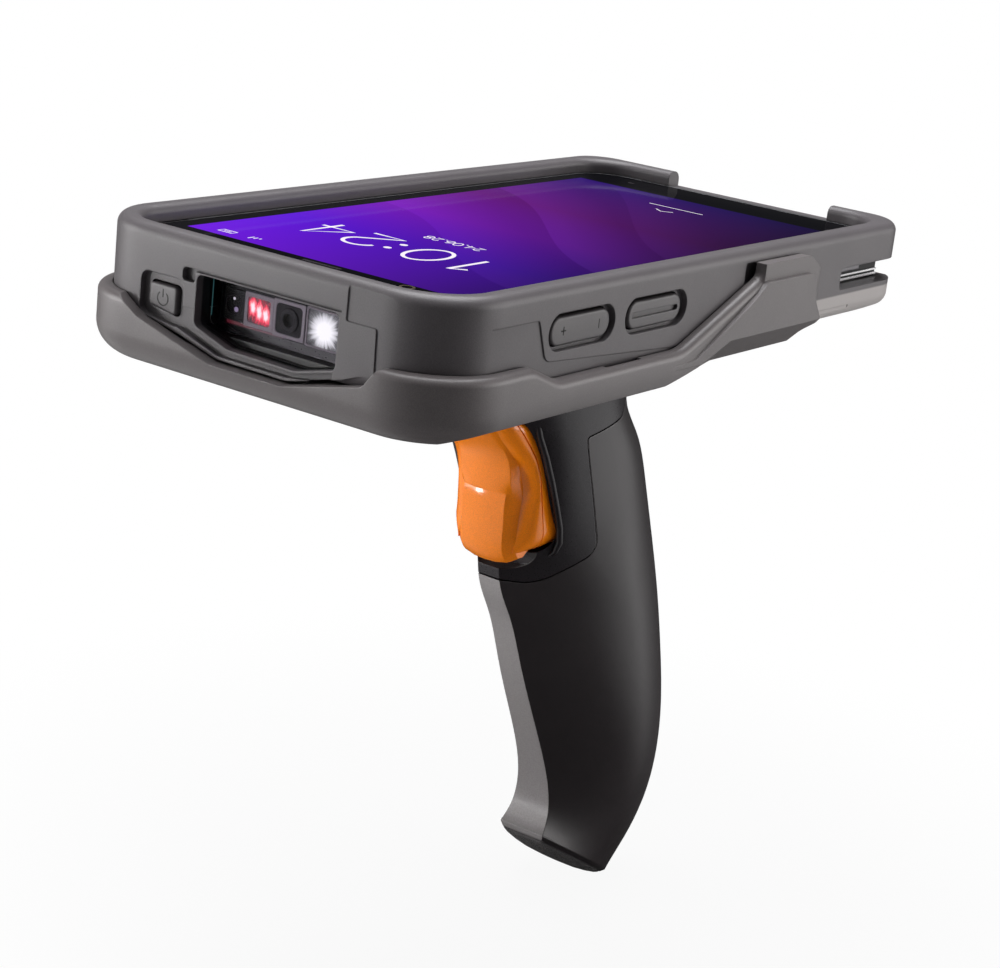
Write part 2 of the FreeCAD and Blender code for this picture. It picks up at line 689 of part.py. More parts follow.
def tray_skyline():
    """Region above the tray's top edge, seen from the side."""
    return [
        (tray_front - 2, -13.4, 0),
        (-62.0, -13.4, 8.0),
        (-53.5, -16.8, 8.0),
        (-12.0, -16.8, 12.0),
        (ARM_FRONT, -5.4, 0),
        (ARM_FRONT, -2.6, 0),
        (35.0, -2.6, 4.0),
        (TRAY_REAR + 0.4, -6.4, 3.0),
        (TRAY_REAR - 1.0, -12.2, 4.0),
        (TRAY_REAR + 0.3, -17.3, 3.0),
        (TRAY_REAR + 0.3, -24.0, 0),
        (TRAY_REAR + 5, -24.0, 0),
        (TRAY_REAR + 5, 5, 0),
        (tray_front - 2, 5, 0),
    ]


def tray_front_notch():
    """Cut-out of the front wall below the scan window."""
    return [
        (-38.0, 5.0, 0),
        (-38.0, -12.2, 0),
        (-32.5, -12.6, 3.0),
        (-25.5, -16.6, 3.0),
        (-7.5, -21.4, 4.0),
        (9.5, -21.4, 4.0),
        (27.6, -17.2, 2.0),
        (30.4, -13.4, 1.5),
        (38.0, -13.4, 0),
        (38.0, 5.0, 0),
    ]


def belly_chamfer():
    """Wedge off the lower side edge, deeper below the clip arms than at the front."""
    outside = tray_hx + 1
    low = tray_bottom - 1
    parts = []
    for i in range(len(BELLY_SECTIONS) - 1):
        wires = []
        for y, edge_z, fold_x, fold_z, inner_x in BELLY_SECTIONS[i:i + 2]:
            points = [V(outside, y, low), V(outside, y, edge_z), V(fold_x, y, fold_z), V(inner_x, y, low)]
            wires.append(Part.makePolygon(points + points[:1]))
        parts.append(Part.makeLoft(wires, True, True))
    return parts[0].multiFuse(parts[1:])


def make_arm_pad():
    """Thicker part of the wall below a clip arm, tapered to nothing at its front."""
    side = prism_x([
        (-16.0, -30.0, 0),
        (-16.0, -19.6, 0),
        (-7.5, -19.0, 6.0),
        (13.5, -8.4, 4.0),
        (16.4, -6.1, 1.0),
        (36.3, -6.1, 3.0),
        (38.0, -12.6, 3.0),
        (TRAY_REAR + 1, -17.2, 0),
        (TRAY_REAR + 1, -30.0, 0),
    ], tray_hx - 1.5, tray_hx + 2)
    plan = prism_z([
        (tray_hx - 1.4, -15.0, 0),
        (tray_hx, -15.0, 0),
        (tray_hx + ARM_PAD, 6.0, 0),
        (tray_hx + ARM_PAD, TRAY_REAR, 0),
        (tray_hx - 1.4, TRAY_REAR, 0),
    ], -31.0, 0)
    below = box(0, tray_hx + 2, -20, TRAY_REAR, tray_bottom + TRAY_FOOT_ROUND, 0)
    return side.common(plan).common(below)


def make_plate():
    plate = box(-POCKET_HALF_X + 0.1, POCKET_HALF_X - 0.1, POCKET_Y0 + 0.1, POCKET_Y1 - 0.1,
                tray_floor_top - PLATE_THICKNESS, tray_floor_top)
    half_x = CONTACT_LENGTH / 2 - 0.9
    half_y = CONTACT_WIDTH / 2 - 0.9
    plate = plate.cut(box(-half_x, half_x, CONTACT_Y - half_y, CONTACT_Y + half_y, -40, 0))
    for x, y in PLATE_SCREWS:
        plate = plate.cut(rod((x, y, -40), (0, 0, 1), 1.1, 40))
        plate = plate.cut(rod((x, y, tray_floor_top - 0.9), (0, 0, 1), 2.1, 5))
    return plate


def make_plate_screws():
    screws = []
    for x, y in PLATE_SCREWS:
        head = rod((x, y, tray_floor_top - 0.85), (0, 0, 1), 1.9, 0.75)
        shank = rod((x, y, tray_floor_top - 5.5), (0, 0, 1), 0.95, 4.65)
        screws.append(head.fuse(shank))
    return Part.makeCompound(screws)


pocket_floor = tray_floor_top - PLATE_THICKNESS - TRAY_POCKET_DEPTH
trigger_board_top = pocket_floor + 1.4


def make_contact_block():
    half_x = CONTACT_LENGTH / 2 - 1.2
    half_y = CONTACT_WIDTH / 2 - 1.2
    return box(-half_x, half_x, CONTACT_Y - half_y, CONTACT_Y + half_y, trigger_board_top,
               boot_bottom + 0.6).cut(pins_solid(0.02))


def pins_solid(grow):
    pins = []
    first = -(PIN_COUNT - 1) * PIN_PITCH / 2
    for i in range(PIN_COUNT):
        x = first + i * PIN_PITCH
        height = term_bottom - trigger_board_top
        pins.append(rod((x, CONTACT_Y, trigger_board_top), (0, 0, 1), 0.6 + grow, height))
    return Part.makeCompound(pins)


def make_trigger_board():
    return box(-11, 11, CONTACT_Y - 7, CONTACT_Y + 15, trigger_board_top - 1.0, trigger_board_top)


# Handle

def section_wire(section, inset):
    """Oval with a narrow flat strip at its front, in the plane through its two end points."""
    front_y, front_z, rear_y, rear_z, half_width, strip, wedge = section
    along = V(0, rear_y - front_y, rear_z - front_z)
    length = along.Length - 2 * inset
    along.normalize()
    start = V(0, front_y, front_z) + along * inset
    wide = half_width - inset
    narrow = max(strip - inset * 0.5, 0.8)
    shares = [b + (w - b) * wedge for b, w in zip(BLUNT_SHARES, WEDGE_SHARES)]

    def side_points(side):
        points = [start + V(side * narrow, 0, 0)]
        for depth, share in zip(FRONT_DEPTHS, shares):
            points.append(start + along * (length * depth) + V(side * (narrow + (wide - narrow) * share), 0, 0))
        for depth, share in zip(REAR_DEPTHS, REAR_SHARES):
            points.append(start + along * (length * depth) + V(side * wide * share, 0, 0))
        return points

    right = side_points(1)
    left = side_points(-1)
    curve = Part.BSplineCurve()
    curve.interpolate(right + [start + along * length] + left[::-1])
    strip_edge = Part.LineSegment(left[0], right[0])
    return Part.Wire([curve.toShape(), strip_edge.toShape()])


def grip_loft(inset):
    return Part.makeLoft([section_wire(s, inset) for s in SECTIONS], True, False)


def seam_face(grow):
    """Side outline of the trigger housing, above and in front of the sleeve."""
    corners = [
        (-45.0, -20.0, 0),
        (70.0, -20.0, 0),
        (70.0, -34.0, 0),
        (21.6, -36.4, 2.0),
        (17.8, -41.7, 2.5),
        (4.6, -44.3, 0.8),
        (16.6, -72.0, 3.5),
        (4.8, -79.2, 9.0),
        (-8.0, -76.8, 0),
        (-45.0, -76.8, 0),
    ]
    wire = rounded_wire(corners, lambda p: V(-40, p.x, p.y))
    face = Part.Face(wire)
    if grow:
        face = face.makeOffset2D(grow)
    return face.extrude(V(80, 0, 0))


base_front = V(0, SECTIONS[-1][0], SECTIONS[-1][1])
base_rear = V(0, SECTIONS[-1][2], SECTIONS[-1][3])
base_along = (base_rear - base_front).normalize()
base_out = V(0, base_along.z, -base_along.y)
base_middle = (base_front + base_rear) * 0.5


def below_base(lift):
    """Half-space block below the base plane, raised into the grip by lift."""
    block = Part.makeBox(120, 120, 60, V(-60, -60, 0))
    placement = FreeCAD.Placement(base_middle - base_out * lift,
                                  FreeCAD.Rotation(V(0, 0, 1), base_out))
    block.Placement = placement
    return block


def base_prism(inset, lift0, lift1):
    """Upright prism of the base oval, from lift0 to lift1 above the base plane."""
    wire = section_wire(SECTIONS[-1], inset)
    face = Part.Face(wire)
    face.translate(base_out * -lift0)
    return face.extrude(base_out * -(lift1 - lift0))


def trigger_opening():
    half = TRIGGER_HALF_WIDTH + TRIGGER_GAP
    top = TRIGGER_TOP + TRIGGER_GAP + 0.2
    low = TRIGGER_BOTTOM - TRIGGER_GAP - 0.6
    corner = TRIGGER_CORNER + TRIGGER_GAP
    corners = [
        (-half, top, corner),
        (-half, low, corner),
        (half, low, corner),
        (half, top, corner),
    ]
    opening = prism_y(corners, -60, OPENING_REAR)
    scoop = prism_y([(-8.2, -60, 0), (-8.2, -75.4, 4.5), (8.2, -75.4, 4.5), (8.2, -60, 0)], -60, 3.4)
    return opening.fuse(scoop)


def make_core():
    outer = grip_loft(0)
    neck = outer.common(seam_face(0))
    spine = grip_loft(SLEEVE_WALL + CORE_GAP)
    spine = spine.cut(box(-60, 60, -80, 100, -38.0, 0))
    core = neck.fuse(spine)
    core = core.cut(below_base(CAP_THICKNESS + 0.1))
    hollow = grip_loft(SLEEVE_WALL + CORE_GAP + CORE_WALL).cut(seam_face(-CORE_WALL))
    core = core.cut(hollow.cut(box(-60, 60, -80, 100, -80.0, 0)).cut(below_base(CAP_THICKNESS + 3)))
    core = core.cut(trigger_opening())
    core = core.cut(rod((-TRIGGER_HALF_WIDTH - TRIGGER_GAP - PIN_REACH, TRIGGER_PIVOT_Y, TRIGGER_PIVOT_Z),
                        (1, 0, 0), PIN_RADIUS, 2 * (TRIGGER_HALF_WIDTH + TRIGGER_GAP + PIN_REACH)))
    core = core.cut(flex_slot(0.6))
    core = core.cut(spring_pocket())
    for x, y in HANDLE_SCREWS:
        core = core.cut(rod((x, y, tray_bottom - 8), (0, 0, 1), 1.25, 9))
    return core


def make_sleeve():
    sleeve = grip_loft(0).cut(seam_face(SEAM_GAP))
    sleeve = sleeve.cut(grip_loft(SLEEVE_WALL).cut(below_base(0.01)))
    sleeve = sleeve.cut(base_prism(CAP_RIM, -1, CAP_THICKNESS + CAP_RECESS + 0.1))
    return sleeve


def make_base_cap():
    cap = base_prism(CAP_RIM + 0.1, CAP_RECESS, CAP_THICKNESS)
    plate = base_prism(CAP_RIM + 2.6, CAP_RECESS - 1, CAP_RECESS + 0.5)
    return cap.cut(plate)


def make_handle_screws():
    screws = []
    for x, y in HANDLE_SCREWS:
        head = rod((x, y, pocket_floor), (0, 0, 1), 2.7, 1.6)
        shank = rod((x, y, tray_bottom - 7.5), (0, 0, 1), 1.2, pocket_floor - tray_bottom + 7.5)
        screws.append(head.fuse(shank))
    return Part.makeCompound(screws)


# Trigger

def pad_profile(x, low, shifts, low_shift):
    """Side outline of the finger pad at one x, folded across its middle."""
    face = [V(x, y + shift, z) for y, z, shift in zip(PAD_Y, PAD_Z, shifts)]
    face.append(V(x, PAD_LOW_Y + low_shift, low))
    upper = Part.BSplineCurve()
    upper.interpolate(face[:PAD_FOLD + 1])
    lower = Part.BSplineCurve()
    lower.interpolate(face[PAD_FOLD:])
    back = [face[-1], V(x, -1.5, low), V(x, 2.5, -69.0), V(x, 2.5, -38.0), V(x, -17.0, -38.0), face[0]]
    return Part.Wire([upper.toShape(), lower.toShape()] + Part.makePolygon(back).Edges)


def make_trigger():
    flange = prism_x([
        (-15.5, TRIGGER_TOP, 2.0),
        (-12.6, -41.0, 3.0),
        (-3.8, -50.0, 18.0),
        (1.6, TRIGGER_BOTTOM, 2.5),
        (9.0, TRIGGER_BOTTOM, 2.0),
        (10.5, TRIGGER_TOP, 4.0),
    ], -TRIGGER_HALF_WIDTH, TRIGGER_HALF_WIDTH)
    shadow = [
        (-TRIGGER_HALF_WIDTH, TRIGGER_TOP, TRIGGER_CORNER),
        (-TRIGGER_HALF_WIDTH, TRIGGER_BOTTOM, TRIGGER_CORNER),
        (TRIGGER_HALF_WIDTH, TRIGGER_BOTTOM, TRIGGER_CORNER),
        (TRIGGER_HALF_WIDTH, TRIGGER_TOP, TRIGGER_CORNER),
    ]
    flange = flange.common(prism_y(shadow, -40, 20))
    left = [pad_profile(-x, low, shifts, low_shift) for x, low, shifts, low_shift in PAD_STATIONS[:0:-1]]
    right = [pad_profile(*station) for station in PAD_STATIONS]
    pad = Part.makeLoft(left + right, True, True)
    trigger = flange.fuse(pad)
    bore = rod((-20, TRIGGER_PIVOT_Y, TRIGGER_PIVOT_Z), (1, 0, 0), PIN_RADIUS + PIN_CLEARANCE, 40)
    slot = box(-SPRING_HALF, SPRING_HALF, TRIGGER_PIVOT_Y - 4.0, 30, TRIGGER_PIVOT_Z - 4.0, 0)
    return trigger.cut(bore).cut(slot)


def spring_pocket():
    """Recess in the housing for the spring's fixed leg, open to the trigger's opening."""
    return box(-SPRING_HALF + 0.5, SPRING_HALF - 0.5, OPENING_REAR - 0.5, OPENING_REAR + 3.0,
               TRIGGER_PIVOT_Z - SPRING_RADIUS - 1.2, TRIGGER_PIVOT_Z + 0.6)


def make_spring():
    """Torsion spring round the pin, its fixed leg reaching back into the housing."""
    pitch = SPRING_WIRE * 1.35
    height = pitch * SPRING_TURNS
    helix = Part.makeHelix(pitch, height, SPRING_RADIUS)
    start = V(SPRING_RADIUS, 0, 0)
    profile = Part.Wire([Part.Circle(start, V(0, 1, 0), SPRING_WIRE / 2).toShape()])
    coil = Part.Wire(helix.Edges).makePipeShell([profile], True, True)
    leg = rod((SPRING_RADIUS, 0, height), (0, 1, 0), SPRING_WIRE / 2, 12.5)
    spring = coil.fuse(leg)
    spring.Placement = FreeCAD.Placement(V(-height / 2, TRIGGER_PIVOT_Y, TRIGGER_PIVOT_Z),
                                         FreeCAD.Rotation(V(0, 1, 0), 90))
    return spring


def make_pin():
    half = TRIGGER_HALF_WIDTH + TRIGGER_GAP + PIN_REACH
    return rod((-half, TRIGGER_PIVOT_Y, TRIGGER_PIVOT_Z), (1, 0, 0), PIN_RADIUS, 2 * half)


def make_switch():
    body = box(-6.4, 6.4, OPENING_REAR - 3.9, OPENING_REAR, -66.0, -59.5)
    plunger = box(-1.2, 1.2, OPENING_REAR - 4.4, OPENING_REAR - 3.9, -65.4, -63.4)
    return body.fuse(plunger)


def flex_slot(grow):
    return box(FLEX_X - FLEX_WIDTH / 2 - grow, FLEX_X + FLEX_WIDTH / 2 + grow, OPENING_REAR - 0.9 - grow,
               OPENING_REAR, -59.5, pocket_floor + 0.5)


def make_flex():
    """Flat flexible lead from the switch up through the housing and under the board."""
    x0 = FLEX_X - FLEX_WIDTH / 2
    x1 = FLEX_X + FLEX_WIDTH / 2
    back = OPENING_REAR - 0.2
    upright = box(x0, x1, back - FLEX_THICKNESS, back, -59.5, pocket_floor + 0.05 + FLEX_THICKNESS)
    run = box(x0, x1, CONTACT_Y + 10, back, pocket_floor + 0.05, pocket_floor + 0.05 + FLEX_THICKNESS)
    return upright.fuse(run).removeSplitter()


os.makedirs("parts", exist_ok=True)

write("rubber_boot", make_boot())
write("display_glass", make_glass())
write("display_panel", make_display())
write("mid_frame", make_mid_frame())
write("back_cover", make_back_cover())
write("main_board", make_board())
write("battery", make_battery())
write("scan_window", make_pane())
write("scan_engine", make_engine())
write("imager_lens", make_lens())
write("aim_illuminator", make_optic(1))
write("camera_module", make_camera())
write("flash_led", make_optic(3))
write("volume_key", make_side_key(VOLUME_CENTRE_Y, VOLUME_KEY_LENGTH, False))
scan_key = make_side_key(SCAN_KEY_CENTRE_Y, SCAN_KEY_LENGTH, True)
write("scan_key_right", scan_key)
write("scan_key_left", mirror_x(scan_key))
write("power_key", make_power_key())
write("key_domes", make_key_domes())
write("contact_pads", pads_solid(0.02))
write("usb_socket", usb_solid(0, -0.3))
write("cradle_tray", make_tray())
write("cradle_plate", make_plate())
write("plate_screws", make_plate_screws())
write("contact_block", make_contact_block())
write("contact_pins", pins_solid(0))
write("trigger_board", make_trigger_board())
write("handle_core", make_core())
write("grip_sleeve", make_sleeve())
write("base_cap", make_base_cap())
write("handle_screws", make_handle_screws())
write("trigger", make_trigger())
write("trigger_pin", make_pin())
write("trigger_spring", make_spring())
write("trigger_switch", make_switch())
write("trigger_flex", make_flex())
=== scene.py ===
import math

import bmesh
import bpy
from mathutils import Matrix, Vector
from mathutils.bvhtree import BVHTree


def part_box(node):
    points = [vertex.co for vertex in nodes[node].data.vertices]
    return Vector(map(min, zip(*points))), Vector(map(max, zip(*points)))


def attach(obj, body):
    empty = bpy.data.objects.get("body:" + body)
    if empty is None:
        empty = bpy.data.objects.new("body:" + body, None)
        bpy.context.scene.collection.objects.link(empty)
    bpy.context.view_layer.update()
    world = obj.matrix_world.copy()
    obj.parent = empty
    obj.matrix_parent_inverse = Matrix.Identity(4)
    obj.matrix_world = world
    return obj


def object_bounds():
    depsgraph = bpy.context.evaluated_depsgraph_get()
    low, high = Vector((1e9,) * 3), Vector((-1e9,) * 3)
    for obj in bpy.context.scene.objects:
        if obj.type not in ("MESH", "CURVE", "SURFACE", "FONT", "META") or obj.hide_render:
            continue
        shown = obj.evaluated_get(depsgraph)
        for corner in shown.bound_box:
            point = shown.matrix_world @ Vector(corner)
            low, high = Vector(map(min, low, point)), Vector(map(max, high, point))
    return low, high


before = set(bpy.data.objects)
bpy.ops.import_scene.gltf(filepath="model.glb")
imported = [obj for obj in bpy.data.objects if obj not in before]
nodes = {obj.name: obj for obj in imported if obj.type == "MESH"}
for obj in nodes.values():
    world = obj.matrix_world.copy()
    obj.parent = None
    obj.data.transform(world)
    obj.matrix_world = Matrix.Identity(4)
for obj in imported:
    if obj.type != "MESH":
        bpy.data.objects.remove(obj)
for leftover in ("Cube", "Light", "Camera"):
    if leftover in bpy.data.objects:
        bpy.data.objects.remove(bpy.data.objects[leftover])
cad_low, cad_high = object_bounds()

MM = 0.001

# The modelling frame of the source: rim top at z 0, boot middle at y 0
ORIGIN_Y = 36.0
ORIGIN_Z = -105.0
ORIGIN = {"X": 0.0, "Y": ORIGIN_Y, "Z": ORIGIN_Z}


def at(x, y, z):
    """A point given in millimetres of the modelling frame, in the row frame."""
    return Vector((x, y - ORIGIN_Y, z - ORIGIN_Z)) * MM


def span(node):
    """Lowest and highest corner of a node in millimetres of the modelling frame."""
    low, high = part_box(node)
    shift = Vector((0, ORIGIN_Y, ORIGIN_Z))
    return low / MM + shift, high / MM + shift


# Shader helpers

def put(tree, kind, inputs=None, **settings):
    """New shader node with its settings, and its inputs set or linked."""
    made = tree.nodes.new("ShaderNode" + kind)
    for key, value in settings.items():
        setattr(made, key, value)
    for key, value in (inputs or {}).items():
        if isinstance(value, bpy.types.NodeSocket):
            tree.links.new(value, made.inputs[key])
        else:
            made.inputs[key].default_value = value
    return made


def new_material(name):
    material = bpy.data.materials.new(name)
    material.use_nodes = True
    tree = material.node_tree
    tree.nodes.clear()
    return material, tree


def close(tree, shader):
    out = put(tree, "OutputMaterial")
    tree.links.new(shader, out.inputs["Surface"])


def mixed_shader(tree, factor, first, second):
    mix = put(tree, "MixShader", {"Fac": factor})
    tree.links.new(first, mix.inputs[1])
    tree.links.new(second, mix.inputs[2])
    return mix.outputs["Shader"]


def maths(tree, operation, a, b=0.0, clamp=False):
    made = tree.nodes.new("ShaderNodeMath")
    made.operation = operation
    made.use_clamp = clamp
    for index, value in enumerate((a, b)):
        if isinstance(value, bpy.types.NodeSocket):
            tree.links.new(value, made.inputs[index])
        else:
            made.inputs[index].default_value = value
    return made.outputs[0]


def ranged(tree, value, low, high, to_low=0.0, to_high=1.0, smooth=False):
    made = put(tree, "MapRange", {"From Min": low, "From Max": high, "To Min": to_low, "To Max": to_high})
    if smooth:
        made.interpolation_type = "SMOOTHSTEP"
    tree.links.new(value, made.inputs["Value"])
    return made.outputs["Result"]


def blend_colour(tree, factor, a, b):
    made = tree.nodes.new("ShaderNodeMix")
    made.data_type = "RGBA"
    for key, value in ((0, factor), (6, a), (7, b)):
        if isinstance(value, bpy.types.NodeSocket):
            tree.links.new(value, made.inputs[key])
        else:
            made.inputs[key].default_value = value
    return made.outputs[2]


def rgb(r, g, b):
    return (r, g, b, 1.0)


def scaled(colour, factor):
    return (colour[0] * factor, colour[1] * factor, colour[2] * factor, 1.0)


def scaled_by(tree, colour, factor):
    """Colour times a number or a socket."""
    made = put(tree, "VectorMath", {0: colour, "Scale": factor}, operation="SCALE")
    return made.outputs["Vector"]


def filled_ramp(tree, factor, stops):
    """Colour of a factor between stops, each a place from 0 to 1 and a colour."""
    ramp = put(tree, "ValToRGB", {"Fac": factor})
    elements = ramp.color_ramp.elements
    while len(elements) < len(stops):
        elements.new(0.5)
    for element, (place, colour) in zip(elements, stops):
        element.position = place
        element.color = (*colour, 1.0)
    return ramp.outputs["Color"]


def noise(tree, where, size, detail, roughness):
    """Noise whose features measure size in millimetres."""
    made = put(tree, "TexNoise", {"Vector": where, "Scale": 1 / (size * MM), "Detail": detail,
                                  "Roughness": roughness})
    return made.outputs["Fac"]


PATCH_FADE = 0.4


def past_limits(tree, where, limits):
    """1 past every limit, each an axis, a place in the modelling frame and the way from it."""
    axes = put(tree, "SeparateXYZ", {"Vector": where})
    inside = 1.0
    for axis, place, way in limits:
        offset = maths(tree, "SUBTRACT", axes.outputs[axis], (place - ORIGIN[axis]) * MM)
        past = maths(tree, "MULTIPLY", offset, way)
        inside = maths(tree, "MULTIPLY", inside, ranged(tree, past, 0.0, PATCH_FADE * MM))
    return inside


def facing_front(tree, normal):
    """1 on faces that look towards the front, 0 on the rest; the mask of the painted front sheen."""
    axes = put(tree, "SeparateXYZ", {"Vector": normal})
    front = ranged(tree, axes.outputs["Y"], -0.70, -0.88, smooth=True)
    sideways = maths(tree, "ABSOLUTE", axes.outputs["X"])
    return maths(tree, "MULTIPLY", front, ranged(tree, sideways, 0.55, 0.25, smooth=True))


# Moulded surfaces: size of blotches, share of speckle, level of painted shade in crevices and of rubbed edges
BLOTCH_SIZE = 14.0
SPECKLE = 0.10
CREVICE_SHADE_LEVEL = 0.12
RUBBED_LEVEL = 1.9
ROUGHNESS_SPREAD = 0.05


def moulded(name, colour, roughness, grain=0.22, depth=0.012, blotch=0.05, edge=0.3, wear=0.25,
            specular=0.4, metallic=0.0, front_sheen=None, gap=0.0, patches=()):
    """Moulded plastic, rubber or metal with fine grain, slight blotches and rounded, lighter edges.

    Given a front colour, faces towards the front take it: a painted sheen for the bright light that falls on
    them.
    With gap, crevices of that width go dark: painted shade. patches are second colours with the limits that
    they lie past.
    """
    material, tree = new_material(name)
    where = put(tree, "TexCoord").outputs["Object"]
    flat = put(tree, "NewGeometry").outputs["Normal"]
    rounded = put(tree, "Bevel", {"Radius": edge * MM}, samples=6).outputs["Normal"]
    fine = noise(tree, where, grain, 2.0, 0.6)
    broad = noise(tree, where, BLOTCH_SIZE, 3.0, 0.55)
    bump = put(tree, "Bump", {"Height": fine, "Strength": 1.0, "Distance": depth * MM, "Normal": rounded})
    body = blend_colour(tree, ranged(tree, broad, 0.3, 0.7), scaled(colour, 1 - blotch),
                        scaled(colour, 1 + blotch))
    # Painted sheen: faces towards the front take a lighter colour for the light that falls on them
    if front_sheen:
        body = blend_colour(tree, facing_front(tree, rounded), body, front_sheen)
    body = blend_colour(tree, ranged(tree, fine, 0.35, 0.65), scaled_by(tree, body, 1 - SPECKLE),
                        scaled_by(tree, body, 1 + SPECKLE))
    for second, limits in patches:
        body = blend_colour(tree, past_limits(tree, where, limits), body, second)
    # Painted shade: crevices that ambient occlusion finds go darker
    if gap:
        crevice_shade = put(tree, "AmbientOcclusion", {"Distance": gap * MM, "Normal": flat}, samples=6)
        open_air = ranged(tree, crevice_shade.outputs["AO"], 0.10, 0.55)
        body = blend_colour(tree, open_air, scaled_by(tree, body, CREVICE_SHADE_LEVEL), body)
    bend = put(tree, "VectorMath", {0: rounded, 1: flat}, operation="DOT_PRODUCT").outputs["Value"]
    rubbed = ranged(tree, bend, 0.985, 0.80, 0.0, wear)
    rubbed = maths(tree, "MULTIPLY", rubbed, ranged(tree, fine, 0.25, 0.7, 0.3, 1.0), clamp=True)
    body = blend_colour(tree, rubbed, body, scaled(colour, RUBBED_LEVEL))
    rough = ranged(tree, fine, 0.2, 0.8, roughness - ROUGHNESS_SPREAD, roughness + ROUGHNESS_SPREAD)
    shader = put(tree, "BsdfPrincipled", {
        "Base Color": body, "Roughness": rough, "Normal": bump.outputs["Normal"],
        "Specular IOR Level": specular, "Metallic": metallic,
    })
    close(tree, shader.outputs["BSDF"])
    return material


def glowing(name, colour, strength):
    material, tree = new_material(name)
    shader = put(tree, "BsdfPrincipled", {
        "Base Color": rgb(0.02, 0.02, 0.02), "Roughness": 0.3, "Emission Color": colour,
        "Emission Strength": strength,
    })
    close(tree, shader.outputs["BSDF"])
    return material


# Materials

BOOT_GREY = rgb(0.094, 0.086, 0.091)
BELLY_SILVER = rgb(0.44, 0.415, 0.405)
# Near black that paints shade on the boot round the scan window's reveal
REVEAL_SHADE_BLACK = rgb(0.006, 0.006, 0.007)
INNER_BLACK = rgb(0.010, 0.008, 0.009)
BELLY = (("Y", 43.6, 1), ("Z", -13.6, -1))
SHADED_REVEAL = (("Y", span("rubber_boot")[0].y + 1.5, 1), ("Y", -72.0, -1), ("Z", -5.6, -1),
                 ("X", -15.5, 1), ("X", 20.5, -1))
BEHIND_WINDOW = (("Y", -62.0, -1),)

# Boot rubber: the belly is silver, and the scan window's reveal takes painted shade
boot_rubber = moulded("boot_rubber", BOOT_GREY, 0.42, depth=0.02, gap=1.3,
                      patches=((BELLY_SILVER, BELLY), (REVEAL_SHADE_BLACK, SHADED_REVEAL)))
tray_plastic = moulded("tray_plastic", rgb(0.122, 0.110, 0.111), 0.38, depth=0.02, specular=0.45, gap=1.4)
neck_plastic = moulded("neck_plastic", rgb(0.018, 0.015, 0.018), 0.30, grain=0.3, depth=0.005, gap=1.0)
# Grip sleeve: the lighter colour of its front faces is a painted sheen
sleeve_rubber = moulded("sleeve_rubber", rgb(0.026, 0.021, 0.023), 0.33, grain=0.3, specular=0.6,
                        front_sheen=rgb(0.300, 0.283, 0.283), gap=0.8)
key_plastic = moulded("key_plastic", rgb(0.088, 0.082, 0.085), 0.38, depth=0.01, gap=0.9)
trigger_plastic = moulded("trigger_plastic", rgb(1.0, 0.25, 0.006), 0.12, depth=0.0006, blotch=0.01,
                          wear=0.0, specular=0.5)
cap_plastic = moulded("cap_plastic", rgb(0.115, 0.110, 0.112), 0.28, edge=0.25)
housing_grey = moulded("housing_grey", rgb(0.62, 0.59, 0.58), 0.30, grain=0.3, depth=0.004, specular=0.5,
                       patches=((INNER_BLACK, BEHIND_WINDOW),))
frame_metal = moulded("frame_metal", rgb(0.10, 0.10, 0.105), 0.35, metallic=0.6,
                      patches=((INNER_BLACK, BEHIND_WINDOW),))
steel = moulded("steel", rgb(0.55, 0.55, 0.56), 0.28, grain=0.1, depth=0.003, metallic=1.0, edge=0.1)
gold = moulded("gold", rgb(0.85, 0.58, 0.22), 0.3, grain=0.1, depth=0.003, metallic=1.0, edge=0.1)
board_green = moulded("board_green", rgb(0.02, 0.09, 0.04), 0.4, grain=0.4)
cell_wrap = moulded("cell_wrap", rgb(0.05, 0.06, 0.08), 0.35)
engine_black = moulded("engine_black", rgb(0.004, 0.0035, 0.004), 0.35, grain=0.2, depth=0.003,
                       specular=0.1)
rail_grey = moulded("rail_grey", rgb(0.20, 0.19, 0.21), 0.25, depth=0.002)
film_amber = moulded("film_amber", rgb(0.45, 0.18, 0.03), 0.3)


# The picture on the screen: stops along it, and bands as place, slope and strength
SCREEN_STOPS = ((0.0, (0.130, 0.004, 0.62)), (0.22, (0.085, 0.002, 0.55)), (0.45, (0.14, 0.003, 0.36)),
                (0.68, (0.10, 0.002, 0.16)), (1.0, (0.020, 0.003, 0.13)))
SCREEN_BANDS = ((-30.0, 0.55, 0.20), (4.0, 0.75, 0.30), (36.0, 0.95, 0.16))
WAVE_RATE = 0.07
WAVE_HEIGHT = 6.0
BAND_EDGE = 0.4
BAND_FADE = (26.0, 6.0)
BAND_GAIN = (1.5, 1.5, 1.6)
BAND_LIFT = (0.03, 0.012, 0.05)
# Level at the near and at the far long side
SCREEN_LEVELS = (0.20, 1.25)


